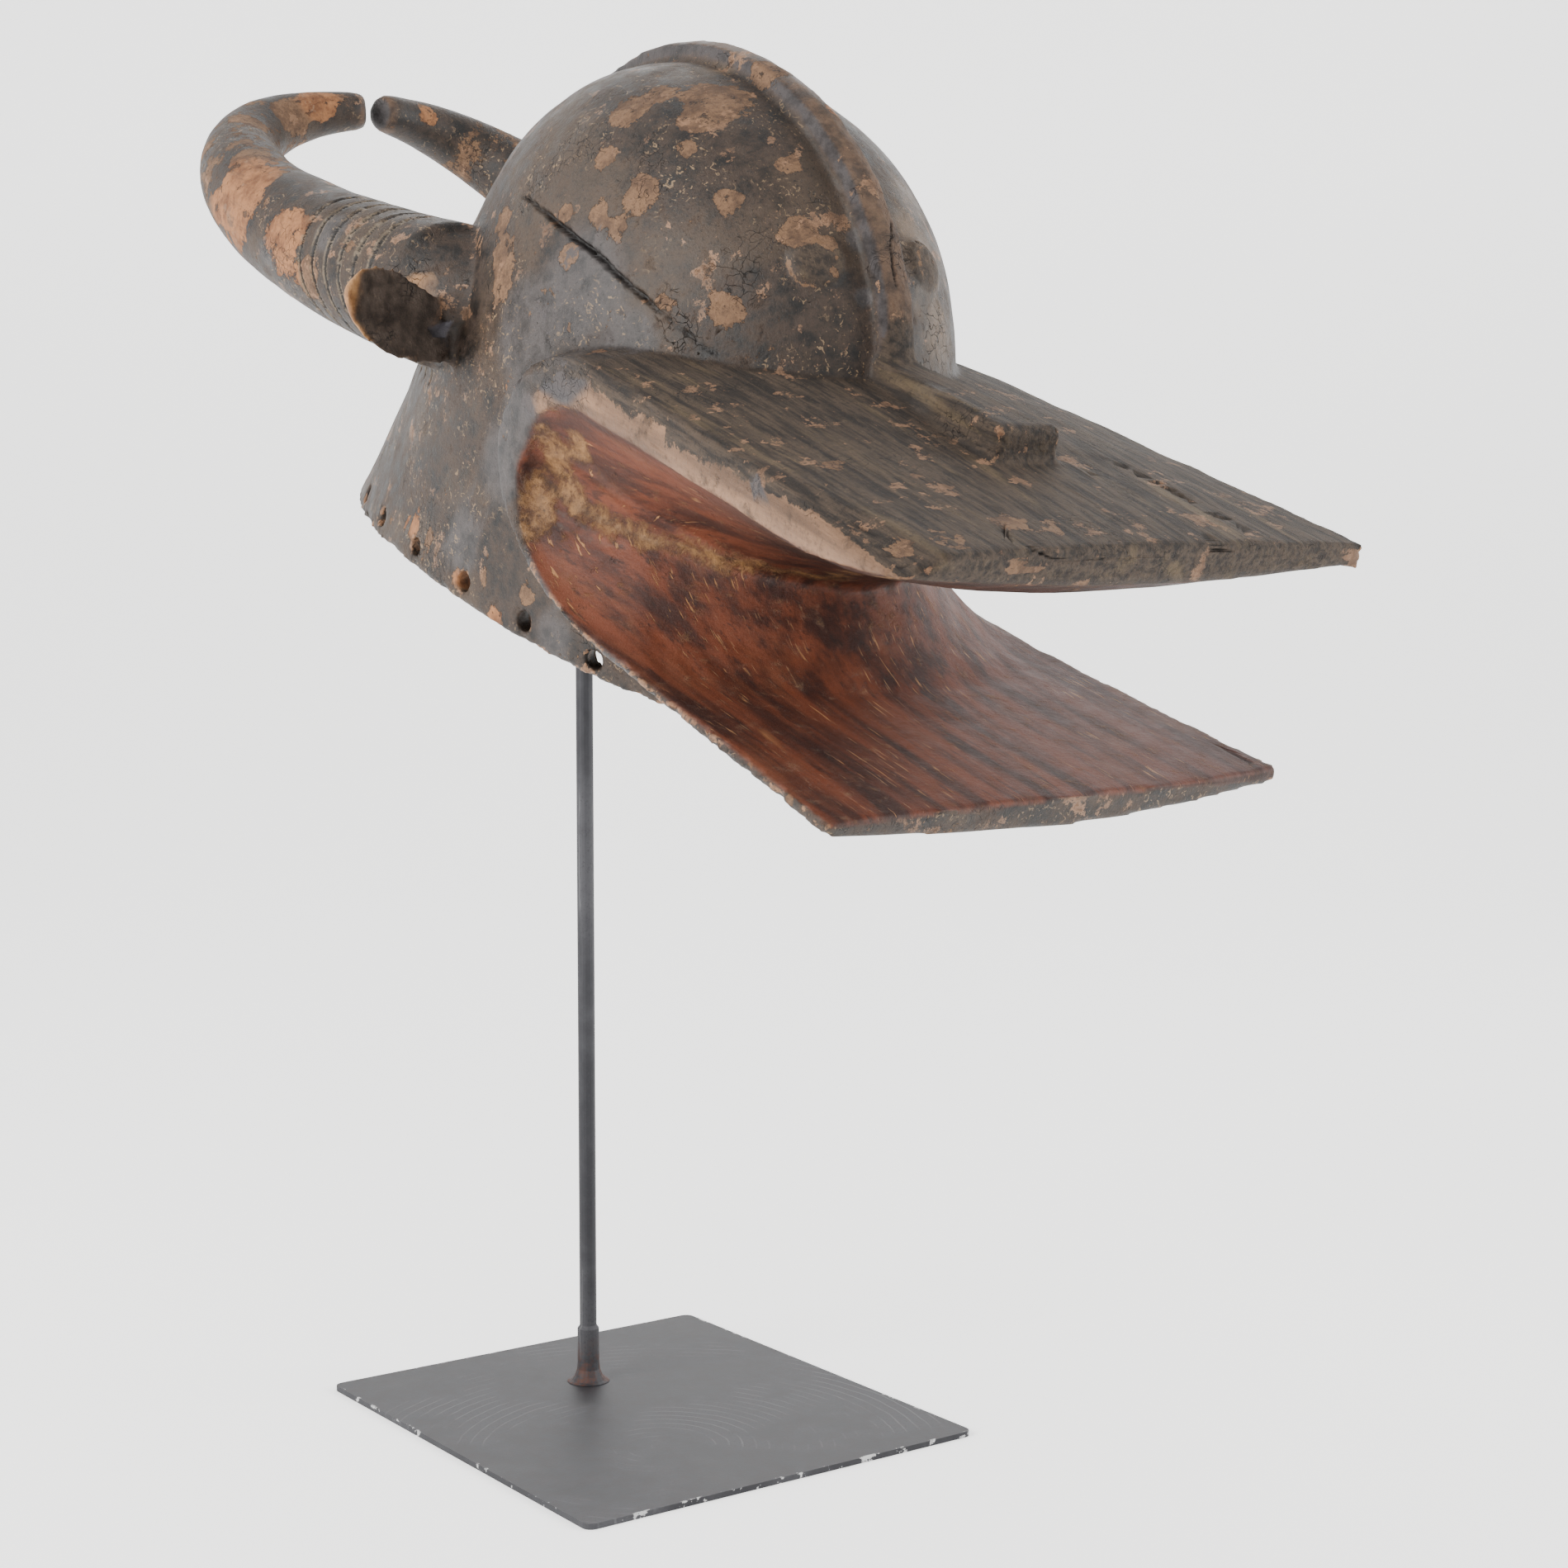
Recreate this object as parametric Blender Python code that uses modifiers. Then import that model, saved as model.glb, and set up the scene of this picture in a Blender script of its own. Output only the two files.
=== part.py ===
"""A carved wooden bush cow helmet mask on its steel rod and foot plate, in metres.

World frame: +Z up, origin at the centre of the plate's underside, the jaws point to -Y.
Mask frame: origin at the centre of the helmet's rim, +X the animal's left, +Y to the nape,
+Z through the crown. The mask frame is tipped forward on the rod by MASK_TILT.
"""

import math

import bmesh
import bpy
from mathutils import Matrix, Vector

# The stand
PLATE_WIDTH = 0.240
PLATE_DEPTH = 0.272
PLATE_THICKNESS = 0.003
PLATE_CORNER = 0.005
ROD_DIAMETER = 0.0095
ROD_SETBACK = 0.058
SLEEVE_DIAMETER = 0.0122
SLEEVE_HEIGHT = 0.032
WELD_DIAMETER = 0.024
WELD_HEIGHT = 0.011
ROD_CHAMFER = 0.0019
CLEARANCE = 0.0003

# How the mask sits on the rod
RIM_HEIGHT = 0.4501
RIM_CENTRE_Y = 0.0306
MASK_TILT = math.radians(20.0)
MASK_LEAN = math.radians(-1.4)

# The helmet, open below, with a true wall
HELMET_WIDTH = 0.2306
HELMET_LENGTH = 0.4126
HELMET_HEIGHT = 0.285
HELMET_WALL = 0.013
RIM_ARCH = 0.0105
WIDTH_TAPER = 0.096
LENGTH_TAPER = 0.314
CROWN_FULLNESS = 5.74
CROWN_SHIFT = -0.1162
CROWN_SHIFT_BACK = 0.0793

# The jaws
JAW_HALF_WIDTH_FRONT = 0.130
JAW_HALF_WIDTH_BACK = 0.1165
UPPER_JAW_FRONT = -0.391
LOWER_JAW_FRONT = -0.376
UPPER_JAW_TOP = 0.1605
LOWER_JAW_TOP = 0.041
LOWER_JAW_EDGE = 0.007
JAW_BACK = -0.0527
JAW_BACK_HEIGHT = 0.105
JAW_BACK_LIP = 0.002
UPPER_ROUNDING = 0.080
LOWER_ROUNDING = 0.130
LOWER_JAW_RISE = 0.0035
LOWER_JAW_LEFT_LIFT = 0.0065
TOP_CAMBER_FRONT = 0.003
TOP_CAMBER_BACK = 0.016
UNDER_CAMBER_FRONT = 0.005
UNDER_CAMBER_BACK = 0.018

# The mouth between the jaws
MOUTH_BACK = -0.0757
MOUTH_BACK_HEIGHT = 0.0925
ROOF_EDGE = 0.1385
ROOF_EDGE_FRONT = 0.152
ROOF_ROUNDING = 0.047
FLOOR_ROUNDING = 0.097
KEEL_FRONT = 0.006
KEEL_BACK = 0.056
KEEL_POWER = 1.2
THROAT_HEIGHT = 0.0785
THROAT_INSET = 0.005
FLOOR_FILLET = 0.070
ROOF_FILLET = 0.045
FLOOR_CAMBER = 0.002
MOUTH_OVERRUN = 0.035

# Where the jaws are worn and broken: three points on each fracture
WORN_EDGE = (Vector((-0.1190, -0.195, 0.1700)), Vector((-0.1400, -0.430, 0.1390)),
             Vector((-0.0960, -0.430, 0.1660)))
CHIPPED_CORNER = (Vector((0.1180, -0.400, 0.020)), Vector((0.1420, -0.360, 0.020)),
                  Vector((0.1300, -0.380, 0.080)))
WEDGE_DEPTH = 0.04

# The crest, nose and eyes
CREST_WIDTH = 0.019
CREST_HEIGHT = 0.011
CREST_SINK = 0.0077
CREST_SQUARENESS = 0.5
CREST_FRONT_LEVEL = 0.178
CREST_BACK_LEVEL = 0.150
NOSE_BACK = -0.180
NOSE_FRONT = -0.303
NOSE_TOP = 0.1862
NOSE_WIDTH_BACK = 0.0200
NOSE_WIDTH_FRONT = 0.0370
NOSE_DEPTH = 0.030
NOSE_FLARE = 1.06
NOSE_BEVEL = 0.0018
EYE_RADIUS = 0.0140
EYE_RELIEF = 0.0036
EYE_HALF_SPACING = 0.031
EYE_LEVEL = 0.2235

# The horns: a curve on four handles that sweeps back and closes behind the helmet
HORN_HANDLES = (Vector((0.0950, 0.0549, 0.1435)), Vector((0.1293, 0.2967, 0.1239)),
                Vector((0.1019, 0.3768, 0.1671)), Vector((0.0045, 0.3417, 0.1826)))
HORN_ANCHOR = Vector((0.066, 0.006, 0.1440))
HORN_ANCHOR_RADIUS = 0.028
HORN_ROOT_RADIUS = 0.0381
HORN_TIP_RADIUS = 0.0109
HORN_RINGS = 6
HORN_RING_FIRST = 0.006
HORN_RING_PITCH = 0.0205
HORN_RING_DEPTH = 0.0016
HORN_RING_LIP = 0.2
HORN_TIP_START = 0.985
HORN_TIP_ROUNDING = ((0.67, 0.88), (1.0, 0.62))

# The ears: dished leaves
EAR_ROOT = Vector((0.104, 0.0213, 0.1285))
EAR_TIP = Vector((0.178, 0.0034, 0.1570))
EAR_HALF_WIDTH = 0.0245
EAR_ROOT_HALF_WIDTH = 0.0140
EAR_THICKNESS = 0.0065
EAR_DISH = 0.0060
EAR_TIP_HALF_WIDTH = 0.002
EAR_WIDEST = 0.55
EAR_EDGE_SHARE = 0.35
EAR_STATIONS = (-0.12, 0.0, 0.14, 0.30, 0.46, 0.62, 0.76, 0.87, 0.95, 0.995)

# The lacing holes along the rim
HOLE_DIAMETER = 0.0096
HOLE_INNER_DIAMETER = 0.0136
HOLE_REACH = 1.5
HOLE_HEIGHT = 0.0095
HOLE_FIRST = math.radians(-38.4)
HOLE_PITCH = math.radians(15.1)
HOLES_PER_SIDE = 9

# How finely the forms are divided
HELMET_SIDES = 40
CAVITY_SIDES = 32
JAW_COLUMNS = 10
JAW_STRAIGHT_SHARE = 0.62
JAW_STRAIGHT_ROWS = 6
JAW_CURVED_ROWS = 8
MOUTH_COLUMNS = 40
MOUTH_ROWS = 7
HORN_POINTS = 16
HORN_SIDES = 20
CREST_POINTS = 18
CREST_TURNS = (-0.5, 0.0, 0.22, 0.5, 0.78, 1.0, 1.5)


def clamp(value, low=0.0, high=1.0):
    return max(low, min(high, value))


def mix(start, end, share):
    return start + (end - start) * share


def quarter_arc(share):
    """Height of a unit quarter circle at this share of its run: 1 at the start, 0 at the end."""
    return math.sqrt(max(0.0, 1.0 - clamp(share) ** 2))


def clear_scene():
    for old in list(bpy.data.objects):
        bpy.data.objects.remove(old, do_unlink=True)


def new_collection(name):
    made = bpy.data.collections.new(name)
    bpy.context.scene.collection.children.link(made)
    return made


def new_material(name, colour, roughness, metallic):
    made = bpy.data.materials.new(name)
    made.use_nodes = True
    shader = made.node_tree.nodes["Principled BSDF"]
    shader.inputs["Base Color"].default_value = (*colour, 1.0)
    shader.inputs["Roughness"].default_value = roughness
    shader.inputs["Metallic"].default_value = metallic
    return made


def object_from_bmesh(name, form, collection):
    bmesh.ops.remove_doubles(form, verts=form.verts[:], dist=1e-6)
    bmesh.ops.dissolve_degenerate(form, dist=1e-7, edges=form.edges[:])
    bmesh.ops.recalc_face_normals(form, faces=form.faces[:])
    mesh = bpy.data.meshes.new(name)
    form.to_mesh(mesh)
    form.free()
    made = bpy.data.objects.new(name, mesh)
    collection.objects.link(made)
    return made


def loft(name, rings, collection):
    """A closed solid through rings of equal point counts. A one-point ring is a pole."""
    form = bmesh.new()
    rows = [[form.verts.new(point) for point in ring] for ring in rings]
    for row, following in zip(rows, rows[1:]):
        count = max(len(row), len(following))
        for index in range(count):
            after = (index + 1) % count
            if len(row) == 1:
                form.faces.new((row[0], following[after], following[index]))
            elif len(following) == 1:
                form.faces.new((row[index], row[after], following[0]))
            else:
                form.faces.new((row[index], row[after], following[after], following[index]))
    for row in (rows[0], rows[-1]):
        if len(row) > 2:
            form.faces.new(row)
    return object_from_bmesh(name, form, collection)


def as_tool(tool, frame=None):
    tool.hide_render = True
    tool.display_type = "WIRE"
    if frame is not None:
        tool.parent = frame
    return tool


def boolean(target, tool, operation):
    change = target.modifiers.new(f"{operation} {tool.name}", "BOOLEAN")
    change.operation = operation
    change.object = tool
    change.solver = "EXACT"


# The helmet's outline, which everything carved on it follows


def helmet_section(height, inset=0.0):
    """Half width, half length and centre of the helmet's oval at a height above the rim."""
    share = clamp(height / (HELMET_HEIGHT - inset))
    round_off = math.sqrt(max(0.0, 1.0 - share**CROWN_FULLNESS))
    half_width = (HELMET_WIDTH / 2 - inset) * (1 - WIDTH_TAPER * share) * round_off
    half_length = (HELMET_LENGTH / 2 - inset) * (1 - LENGTH_TAPER * share) * round_off
    centre = CROWN_SHIFT * share + CROWN_SHIFT_BACK * share**2
    return half_width, half_length, centre


def helmet_levels(inset, straight=4, rounded=11):
    """Heights of the rings: even steps up the wall, then closing in towards the crown."""
    top = HELMET_HEIGHT - inset
    shoulder = 0.48
    levels = [top * shoulder * step / straight for step in range(straight)]
    first = math.asin(shoulder ** (CROWN_FULLNESS / 2))
    for step in range(rounded):
        angle = mix(first, math.pi / 2, step / rounded)
        levels.append(top * math.sin(angle) ** (2 / CROWN_FULLNESS))
    return levels, top


def helmet_point(angle, height, inset=0.0):
    """A point of the helmet's wall. The angle is 0 at the animal's left and grows to the nape."""
    half_width, half_length, centre = helmet_section(height, inset)
    return Vector((half_width * math.cos(angle), centre + half_length * math.sin(angle), height))


def helmet_normal(angle, height):
    """The wall's outward direction, from its slopes along and up the wall."""
    step = 1e-4
    along = helmet_point(angle + step, height) - helmet_point(angle - step, height)
    upward = helmet_point(angle, height + step) - helmet_point(angle, height - step)
    return along.cross(upward).normalized()


def rim_height(angle):
    """The rim rises a little along both sides."""
    return RIM_ARCH * math.cos(angle) ** 4


def oval_ring(height, inset, sides):
    turns = (2 * math.pi * side / sides for side in range(sides))
    return [helmet_point(turn, height, inset) for turn in turns]


def helmet_body(collection):
    levels, top = helmet_levels(0.0)
    rings = [oval_ring(level, 0.0, HELMET_SIDES) for level in levels[1:]]
    turns = [2 * math.pi * side / HELMET_SIDES for side in range(HELMET_SIDES)]
    rim = [helmet_point(turn, rim_height(turn)) for turn in turns]
    crown = Vector((0, helmet_section(top)[2], top))
    return loft("helmet_body", [rim] + rings + [[crown]], collection)


def helmet_cavity(collection):
    """The hollow for the head, one wall inside the outer form and open at the rim."""
    levels, top = helmet_levels(HELMET_WALL, straight=3, rounded=8)
    rings = [oval_ring(level, HELMET_WALL, CAVITY_SIDES) for level in levels]
    below = [point - Vector((0, 0, 2 * HELMET_WALL)) for point in rings[0]]
    crown = Vector((0, helmet_section(top, HELMET_WALL)[2], top))
    return loft("helmet_cavity", [below] + rings + [[crown]], collection)


def ceiling_height(y):
    """The cavity's height above the rim on the middle plane at this distance back."""
    low, high = 0.0, HELMET_HEIGHT - HELMET_WALL
    for _ in range(40):
        middle = (low + high) / 2
        _, half_length, centre = helmet_section(middle, HELMET_WALL)
        if abs(y - centre) < half_length:
            low = middle
        else:
            high = middle
    return low


# The jaws and the mouth


def jaw_half_width(y):
    share = clamp((y - UPPER_JAW_FRONT) / (JAW_BACK - UPPER_JAW_FRONT))
    return mix(JAW_HALF_WIDTH_FRONT, JAW_HALF_WIDTH_BACK, share)


def jaw_front(z):
    """How far forward the muzzle reaches at this height: the upper jaw is the longer."""
    share = (z - LOWER_JAW_TOP) / (UPPER_JAW_TOP - LOWER_JAW_TOP)
    return mix(LOWER_JAW_FRONT, UPPER_JAW_FRONT, clamp(share))


def reach(y):
    """0 at the front of the upper jaw and 1 where the board meets the helmet."""
    helmet_front = -HELMET_LENGTH / 2
    return clamp((y - UPPER_JAW_FRONT) / (helmet_front - UPPER_JAW_FRONT))


def left_lift(x, y):
    """The lower jaw is carved a little higher at its left front corner than at its right."""
    across = clamp(x / jaw_half_width(y))
    return LOWER_JAW_LEFT_LIFT * across**2 * (1 - reach(y))


def muzzle_top(x, y):
    """The board's top: flat along its side edges, crowned along the middle."""
    run = (y - (JAW_BACK - UPPER_ROUNDING)) / UPPER_ROUNDING
    edge = mix(JAW_BACK_HEIGHT, UPPER_JAW_TOP, quarter_arc(run))
    camber = mix(TOP_CAMBER_FRONT, TOP_CAMBER_BACK, reach(y))
    across = clamp(abs(x) / jaw_half_width(y))
    return edge + camber * (1 - across**2) * quarter_arc(run)


def muzzle_bottom(x, y):
    """The lower jaw's underside, thin along its edges and fuller along the middle."""
    run = (y - (JAW_BACK - LOWER_ROUNDING)) / LOWER_ROUNDING
    edge = LOWER_JAW_TOP - LOWER_JAW_EDGE + LOWER_JAW_RISE * reach(y)
    edge = mix(JAW_BACK_HEIGHT, edge, quarter_arc(run))
    camber = mix(UNDER_CAMBER_FRONT, UNDER_CAMBER_BACK, reach(y))
    across = clamp(abs(x) / jaw_half_width(y))
    return edge - camber * (1 - across**2) * quarter_arc(run) + left_lift(x, y)


def muzzle_ring(share):
    """Top points from right to left, then bottom points back again."""
    ring = []
    for surface, order in ((muzzle_top, 1), (muzzle_bottom, -1)):
        for column in range(JAW_COLUMNS + 1):
            across = order * (2 * column / JAW_COLUMNS - 1)
            y = mix(UPPER_JAW_FRONT, JAW_BACK, share)
            front = jaw_front(surface(0, y))
            y = mix(front, JAW_BACK, share)
            x = across * jaw_half_width(y)
            ring.append(Vector((x, y, surface(x, y))))
    return ring


def muzzle_block(collection):
    """Both jaws as one closed block, before the mouth is cut between them."""
    straight = [JAW_STRAIGHT_SHARE * row / JAW_STRAIGHT_ROWS for row in range(JAW_STRAIGHT_ROWS)]
    turns = [math.pi / 2 * row / JAW_CURVED_ROWS for row in range(JAW_CURVED_ROWS)]
    curved = [mix(JAW_STRAIGHT_SHARE, 1.0, math.sin(turn)) for turn in turns]
    rings = [muzzle_ring(share) for share in straight + curved]
    lips = [JAW_BACK_LIP / 2] * (JAW_COLUMNS + 1) + [-JAW_BACK_LIP / 2] * (JAW_COLUMNS + 1)
    back = [Vector((point.x, JAW_BACK, JAW_BACK_HEIGHT + lip)) for point, lip in zip(rings[-1], lips)]
    return loft("muzzle_block", rings + [back], collection)


def floor_edge(y):
    run = (y - (MOUTH_BACK - FLOOR_ROUNDING)) / FLOOR_ROUNDING
    return mix(MOUTH_BACK_HEIGHT, LOWER_JAW_TOP, quarter_arc(run))


def roof_edge(y):
    run = (y - (MOUTH_BACK - ROOF_ROUNDING)) / ROOF_ROUNDING
    lift = (ROOF_EDGE_FRONT - ROOF_EDGE) * (1 - clamp(3 * reach(y))) ** 1.5
    return mix(MOUTH_BACK_HEIGHT, ROOF_EDGE + lift, quarter_arc(run))


def keel(x, y):
    """The upper jaw's underside: a keel that deepens from the front to the throat."""
    across = clamp(abs(x) / jaw_half_width(y))
    depth = mix(KEEL_FRONT, KEEL_BACK, reach(y) ** KEEL_POWER)
    return roof_edge(y) - depth * (1 - across**2)


def throat_point(turn, turn_end):
    """Where the mouth ends against the helmet's front wall, by angle from the middle plane."""
    half_width, half_length, centre = helmet_section(THROAT_HEIGHT, THROAT_INSET)
    height = mix(THROAT_HEIGHT, MOUTH_BACK_HEIGHT, abs(turn / turn_end) ** 4)
    return Vector((half_width * math.sin(turn), centre - half_length * math.cos(turn), height))


def mouth_heights(point, distance, run, throat):
    """Floor and roof of the mouth at a point of the plan, this far out from the throat."""
    across = clamp(abs(point.x) / jaw_half_width(point.y))
    open_floor = floor_edge(point.y) + FLOOR_CAMBER * (1 - across**2) * (1 - reach(point.y))
    open_floor += left_lift(point.x, point.y)
    floor_share = clamp(distance / min(FLOOR_FILLET, run))
    floor = mix(open_floor, throat, (1 - floor_share) ** 2)
    roof_share = clamp(distance / min(ROOF_FILLET, run))
    open_roof = max(keel(point.x, point.y), throat)
    roof = mix(throat, open_roof, quarter_arc(1 - roof_share))
    return floor, max(roof, floor)


def jaw_edge_share(inner, outer):
    """How far along the line from the throat outwards the jaws' edge lies, by halving."""
    low, high = 0.0, 1.0
    for _ in range(30):
        middle = (low + high) / 2
        spot = inner.lerp(outer, middle)
        if abs(spot.x) < jaw_half_width(spot.y) and spot.y > UPPER_JAW_FRONT:
            low = middle
        else:
            high = middle
    return high


def mouth_line(part, turn_end):
    """Floor and roof points along one line from the throat out past the jaws' edge."""
    inner = throat_point(part * turn_end, turn_end)
    side = JAW_HALF_WIDTH_FRONT + MOUTH_OVERRUN
    front = UPPER_JAW_FRONT - MOUTH_OVERRUN
    if abs(part) > 0.5:
        run = math.sin(math.pi / 2 * (2 * abs(part) - 1))
        outer = Vector((math.copysign(side, part), mix(front, MOUTH_BACK, run), 0))
    else:
        outer = Vector((2 * part * side, front, 0))
    start = Vector((inner.x, inner.y, 0))
    edge = start.lerp(outer, jaw_edge_share(start, outer))
    run = (edge - start).length
    line = []
    for row in range(MOUTH_ROWS + 1):
        spot = start.lerp(edge, (row / MOUTH_ROWS) ** 1.5)
        line.append((spot, *mouth_heights(spot, (spot - start).length, run, inner.z)))
    line.append((outer, line[-1][1], line[-1][2]))
    return line


def mouth_cutter(collection):
    """The gap between the jaws, which wraps round the front of the helmet on three sides."""
    _, half_length, centre = helmet_section(THROAT_HEIGHT, THROAT_INSET)
    turn_end = math.acos(clamp((centre - MOUTH_BACK) / half_length))
    form = bmesh.new()
    floors, roofs = [], []
    for column in range(MOUTH_COLUMNS + 1):
        line = mouth_line(2 * column / MOUTH_COLUMNS - 1, turn_end)
        floors.append([form.verts.new((spot.x, spot.y, floor)) for spot, floor, _ in line])
        roofs.append([form.verts.new((spot.x, spot.y, roof)) for spot, _, roof in line])
    for first, second in zip(range(MOUTH_COLUMNS), range(1, MOUTH_COLUMNS + 1)):
        for rows in (floors, roofs):
            for row in range(MOUTH_ROWS + 1):
                form.faces.new((rows[first][row], rows[second][row],
                                rows[second][row + 1], rows[first][row + 1]))
        form.faces.new((floors[first][-1], floors[second][-1], roofs[second][-1], roofs[first][-1]))
    return object_from_bmesh("mouth_cutter", form, collection)


def wedge(name, points, depth, collection):
    """A three-cornered block whose first face passes through the points, counter-clockwise."""
    normal = (points[1] - points[0]).cross(points[2] - points[0]).normalized()
    rings = [list(points), [point + normal * depth for point in points]]
    return loft(name, rings, collection)


def broken_corners(collection):
    """The worn right edge of the board and the chipped left corner of the lower jaw."""
    yield wedge("worn_edge", WORN_EDGE, WEDGE_DEPTH, collection)
    yield wedge("chipped_corner", CHIPPED_CORNER, WEDGE_DEPTH, collection)


# What is carved on the helmet


def crest_outline():
    """Points of the helmet's outline in its middle plane, from the brow over to the nape."""
    front, back, top = CREST_FRONT_LEVEL, CREST_BACK_LEVEL, HELMET_HEIGHT
    points = []
    for step in range(CREST_POINTS + 1):
        turn = mix(-1.0, 1.0, step / CREST_POINTS)
        low = front if turn < 0 else back
        first = math.asin((low / top) ** (CROWN_FULLNESS / 2))
        angle = mix(math.pi / 2, first, abs(turn) ** 1.15)
        level = top * min(0.99999, math.sin(angle)) ** (2 / CROWN_FULLNESS)
        _, half_length, centre = helmet_section(level)
        points.append(Vector((0, centre + math.copysign(half_length, turn) * (turn != 0), level)))
    return points


def squared(wave):
    """A circle's coordinate drawn out towards a square's, for a band with full shoulders."""
    return math.copysign(abs(wave) ** CREST_SQUARENESS, wave)


def crest(collection):
    """A rounded band that stands on the middle plane and dies out at the nape."""
    outline = crest_outline()
    rings = []
    for index, point in enumerate(outline):
        before = outline[max(0, index - 1)]
        after = outline[min(len(outline) - 1, index + 1)]
        along = (after - before).normalized()
        out = Vector((0, -along.z, along.y)).normalized()
        fade = clamp((len(outline) - 1 - index) / 3)
        ring = []
        for turn in CREST_TURNS:
            lift = squared(math.sin(math.pi * turn))
            height = CREST_HEIGHT * fade * lift if lift > 0 else CREST_SINK * lift
            width = CREST_WIDTH / 2 * squared(math.cos(math.pi * turn)) if lift >= 0 else 0.0
            ring.append(point + out * height + Vector((width, 0, 0)))
        rings.append(ring[:-1])
    return loft("crest", rings, collection)


def nose(collection):
    """A bevelled bar, wider at its front, on the middle of the board."""
    form = bmesh.new()
    bmesh.ops.create_cube(form, size=1.0)
    for vert in form.verts:
        at_front = vert.co.y < 0
        width = NOSE_WIDTH_FRONT if at_front else NOSE_WIDTH_BACK
        flare = NOSE_FLARE if vert.co.z < 0 else 1.0
        vert.co.x = math.copysign(width / 2 * flare, vert.co.x)
        vert.co.y = NOSE_FRONT if at_front else NOSE_BACK
        vert.co.z = NOSE_TOP if vert.co.z > 0 else NOSE_TOP - NOSE_DEPTH
    bmesh.ops.bevel(form, geom=form.edges[:], offset=NOSE_BEVEL, segments=1, affect="EDGES")
    return object_from_bmesh("nose", form, collection)


def eye(side, collection):
    """A low round boss on the brow, square to the surface it grows from."""
    half_width, _, _ = helmet_section(EYE_LEVEL)
    angle = -math.acos(EYE_HALF_SPACING / half_width)
    spot = helmet_point(angle, EYE_LEVEL)
    out = helmet_normal(angle, EYE_LEVEL)
    form = bmesh.new()
    bmesh.ops.create_uvsphere(form, u_segments=14, v_segments=8, radius=EYE_RADIUS)
    for vert in form.verts:
        vert.co.z *= EYE_RELIEF / EYE_RADIUS
    turn = Vector((0, 0, 1)).rotation_difference(out).to_matrix().to_4x4()
    bmesh.ops.transform(form, matrix=Matrix.Translation(spot) @ turn, verts=form.verts)
    if side < 0:
        bmesh.ops.transform(form, matrix=Matrix.Scale(-1, 4, (1, 0, 0)), verts=form.verts)
    return object_from_bmesh("eye_left" if side > 0 else "eye_right", form, collection)


def horn_point(share):
    """The horn's centre line: 0 at its root in the wall and 1 at its tip."""
    rest = 1 - share
    weights = (rest**3, 3 * rest**2 * share, 3 * rest * share**2, share**3)
    return sum((handle * weight for handle, weight in zip(HORN_HANDLES, weights)), Vector())


def horn_tangent(share):
    """The way the horn runs at this share of its length."""
    step = 1e-4
    return (horn_point(share + step) - horn_point(share - step)).normalized()


def horn_radius(share):
    return mix(HORN_ROOT_RADIUS, HORN_TIP_RADIUS, share)


def horn_stations():
    """Shares and radii along the horn, with the incised rings and the blunt tip."""
    stations = []
    for ring in range(HORN_RINGS):
        middle = HORN_RING_FIRST + ring * HORN_RING_PITCH
        lip = HORN_RING_LIP * HORN_RING_PITCH
        for share, depth in ((middle - lip, 0.0), (middle, HORN_RING_DEPTH), (middle + lip, 0.0)):
            stations.append((share, horn_radius(share) - depth))
    rings_end = HORN_RING_FIRST + HORN_RINGS * HORN_RING_PITCH
    for step in range(HORN_POINTS + 1):
        share = mix(rings_end, HORN_TIP_START, step / HORN_POINTS)
        stations.append((share, horn_radius(share)))
    for part, fullness in HORN_TIP_ROUNDING:
        stations.append((mix(HORN_TIP_START, 1.0, part), fullness * HORN_TIP_RADIUS))
    return stations


def horn(side, collection):
    """A tapering round bar along its own curve, rooted inside the helmet's wall."""
    rings = [round_ring(HORN_ANCHOR, horn_tangent(0.0), HORN_ANCHOR_RADIUS, side)]
    for share, radius in horn_stations():
        rings.append(round_ring(horn_point(share), horn_tangent(share), radius, side))
    return loft("horn_left" if side > 0 else "horn_right", rings, collection)


def round_ring(centre, along, radius, side):
    """A ring square to a direction, mirrored for the animal's right side."""
    across = along.cross(Vector((0, 0, 1))).normalized()
    over = across.cross(along)
    ring = []
    for index in range(HORN_SIDES):
        turn = 2 * math.pi * index / HORN_SIDES
        point = centre + radius * (across * math.cos(turn) + over * math.sin(turn))
        ring.append(Vector((side * point.x, point.y, point.z)))
    return ring


def ear(side, collection):
    """A leaf that stands out sideways, hollowed on the face that looks forward."""
    along = EAR_TIP - EAR_ROOT
    upright = Vector((0, math.sin(MASK_TILT), math.cos(MASK_TILT)))
    facing = along.cross(upright).normalized()
    if facing.y > 0:
        facing = -facing
    width_way = facing.cross(along).normalized()
    rings = []
    for share in EAR_STATIONS:
        grow = math.sin(math.pi / 2 * clamp(share / EAR_WIDEST))
        fall = quarter_arc((share - EAR_WIDEST) / (1 - EAR_WIDEST))
        half = mix(EAR_ROOT_HALF_WIDTH, EAR_HALF_WIDTH, grow) * fall
        half = max(half, EAR_TIP_HALF_WIDTH)
        centre = EAR_ROOT + along * share
        dish = EAR_DISH * math.sin(math.pi * clamp(share, 0.05, 0.98)) ** 0.6
        ring = []
        for face in (1, -1):
            for column in range(7):
                across = face * (column / 3 - 1)
                bowl = 1 - across**2
                edge_thin = mix(EAR_EDGE_SHARE, 1.0, bowl)
                depth = face * EAR_THICKNESS / 2 * edge_thin - dish * bowl
                if abs(across) == 1 and face < 0:
                    continue
                ring.append(centre + width_way * half * across + facing * depth)
        rings.append([Vector((side * point.x, point.y, point.z)) for point in ring])
    return loft("ear_left" if side > 0 else "ear_right", rings, collection)


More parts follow.
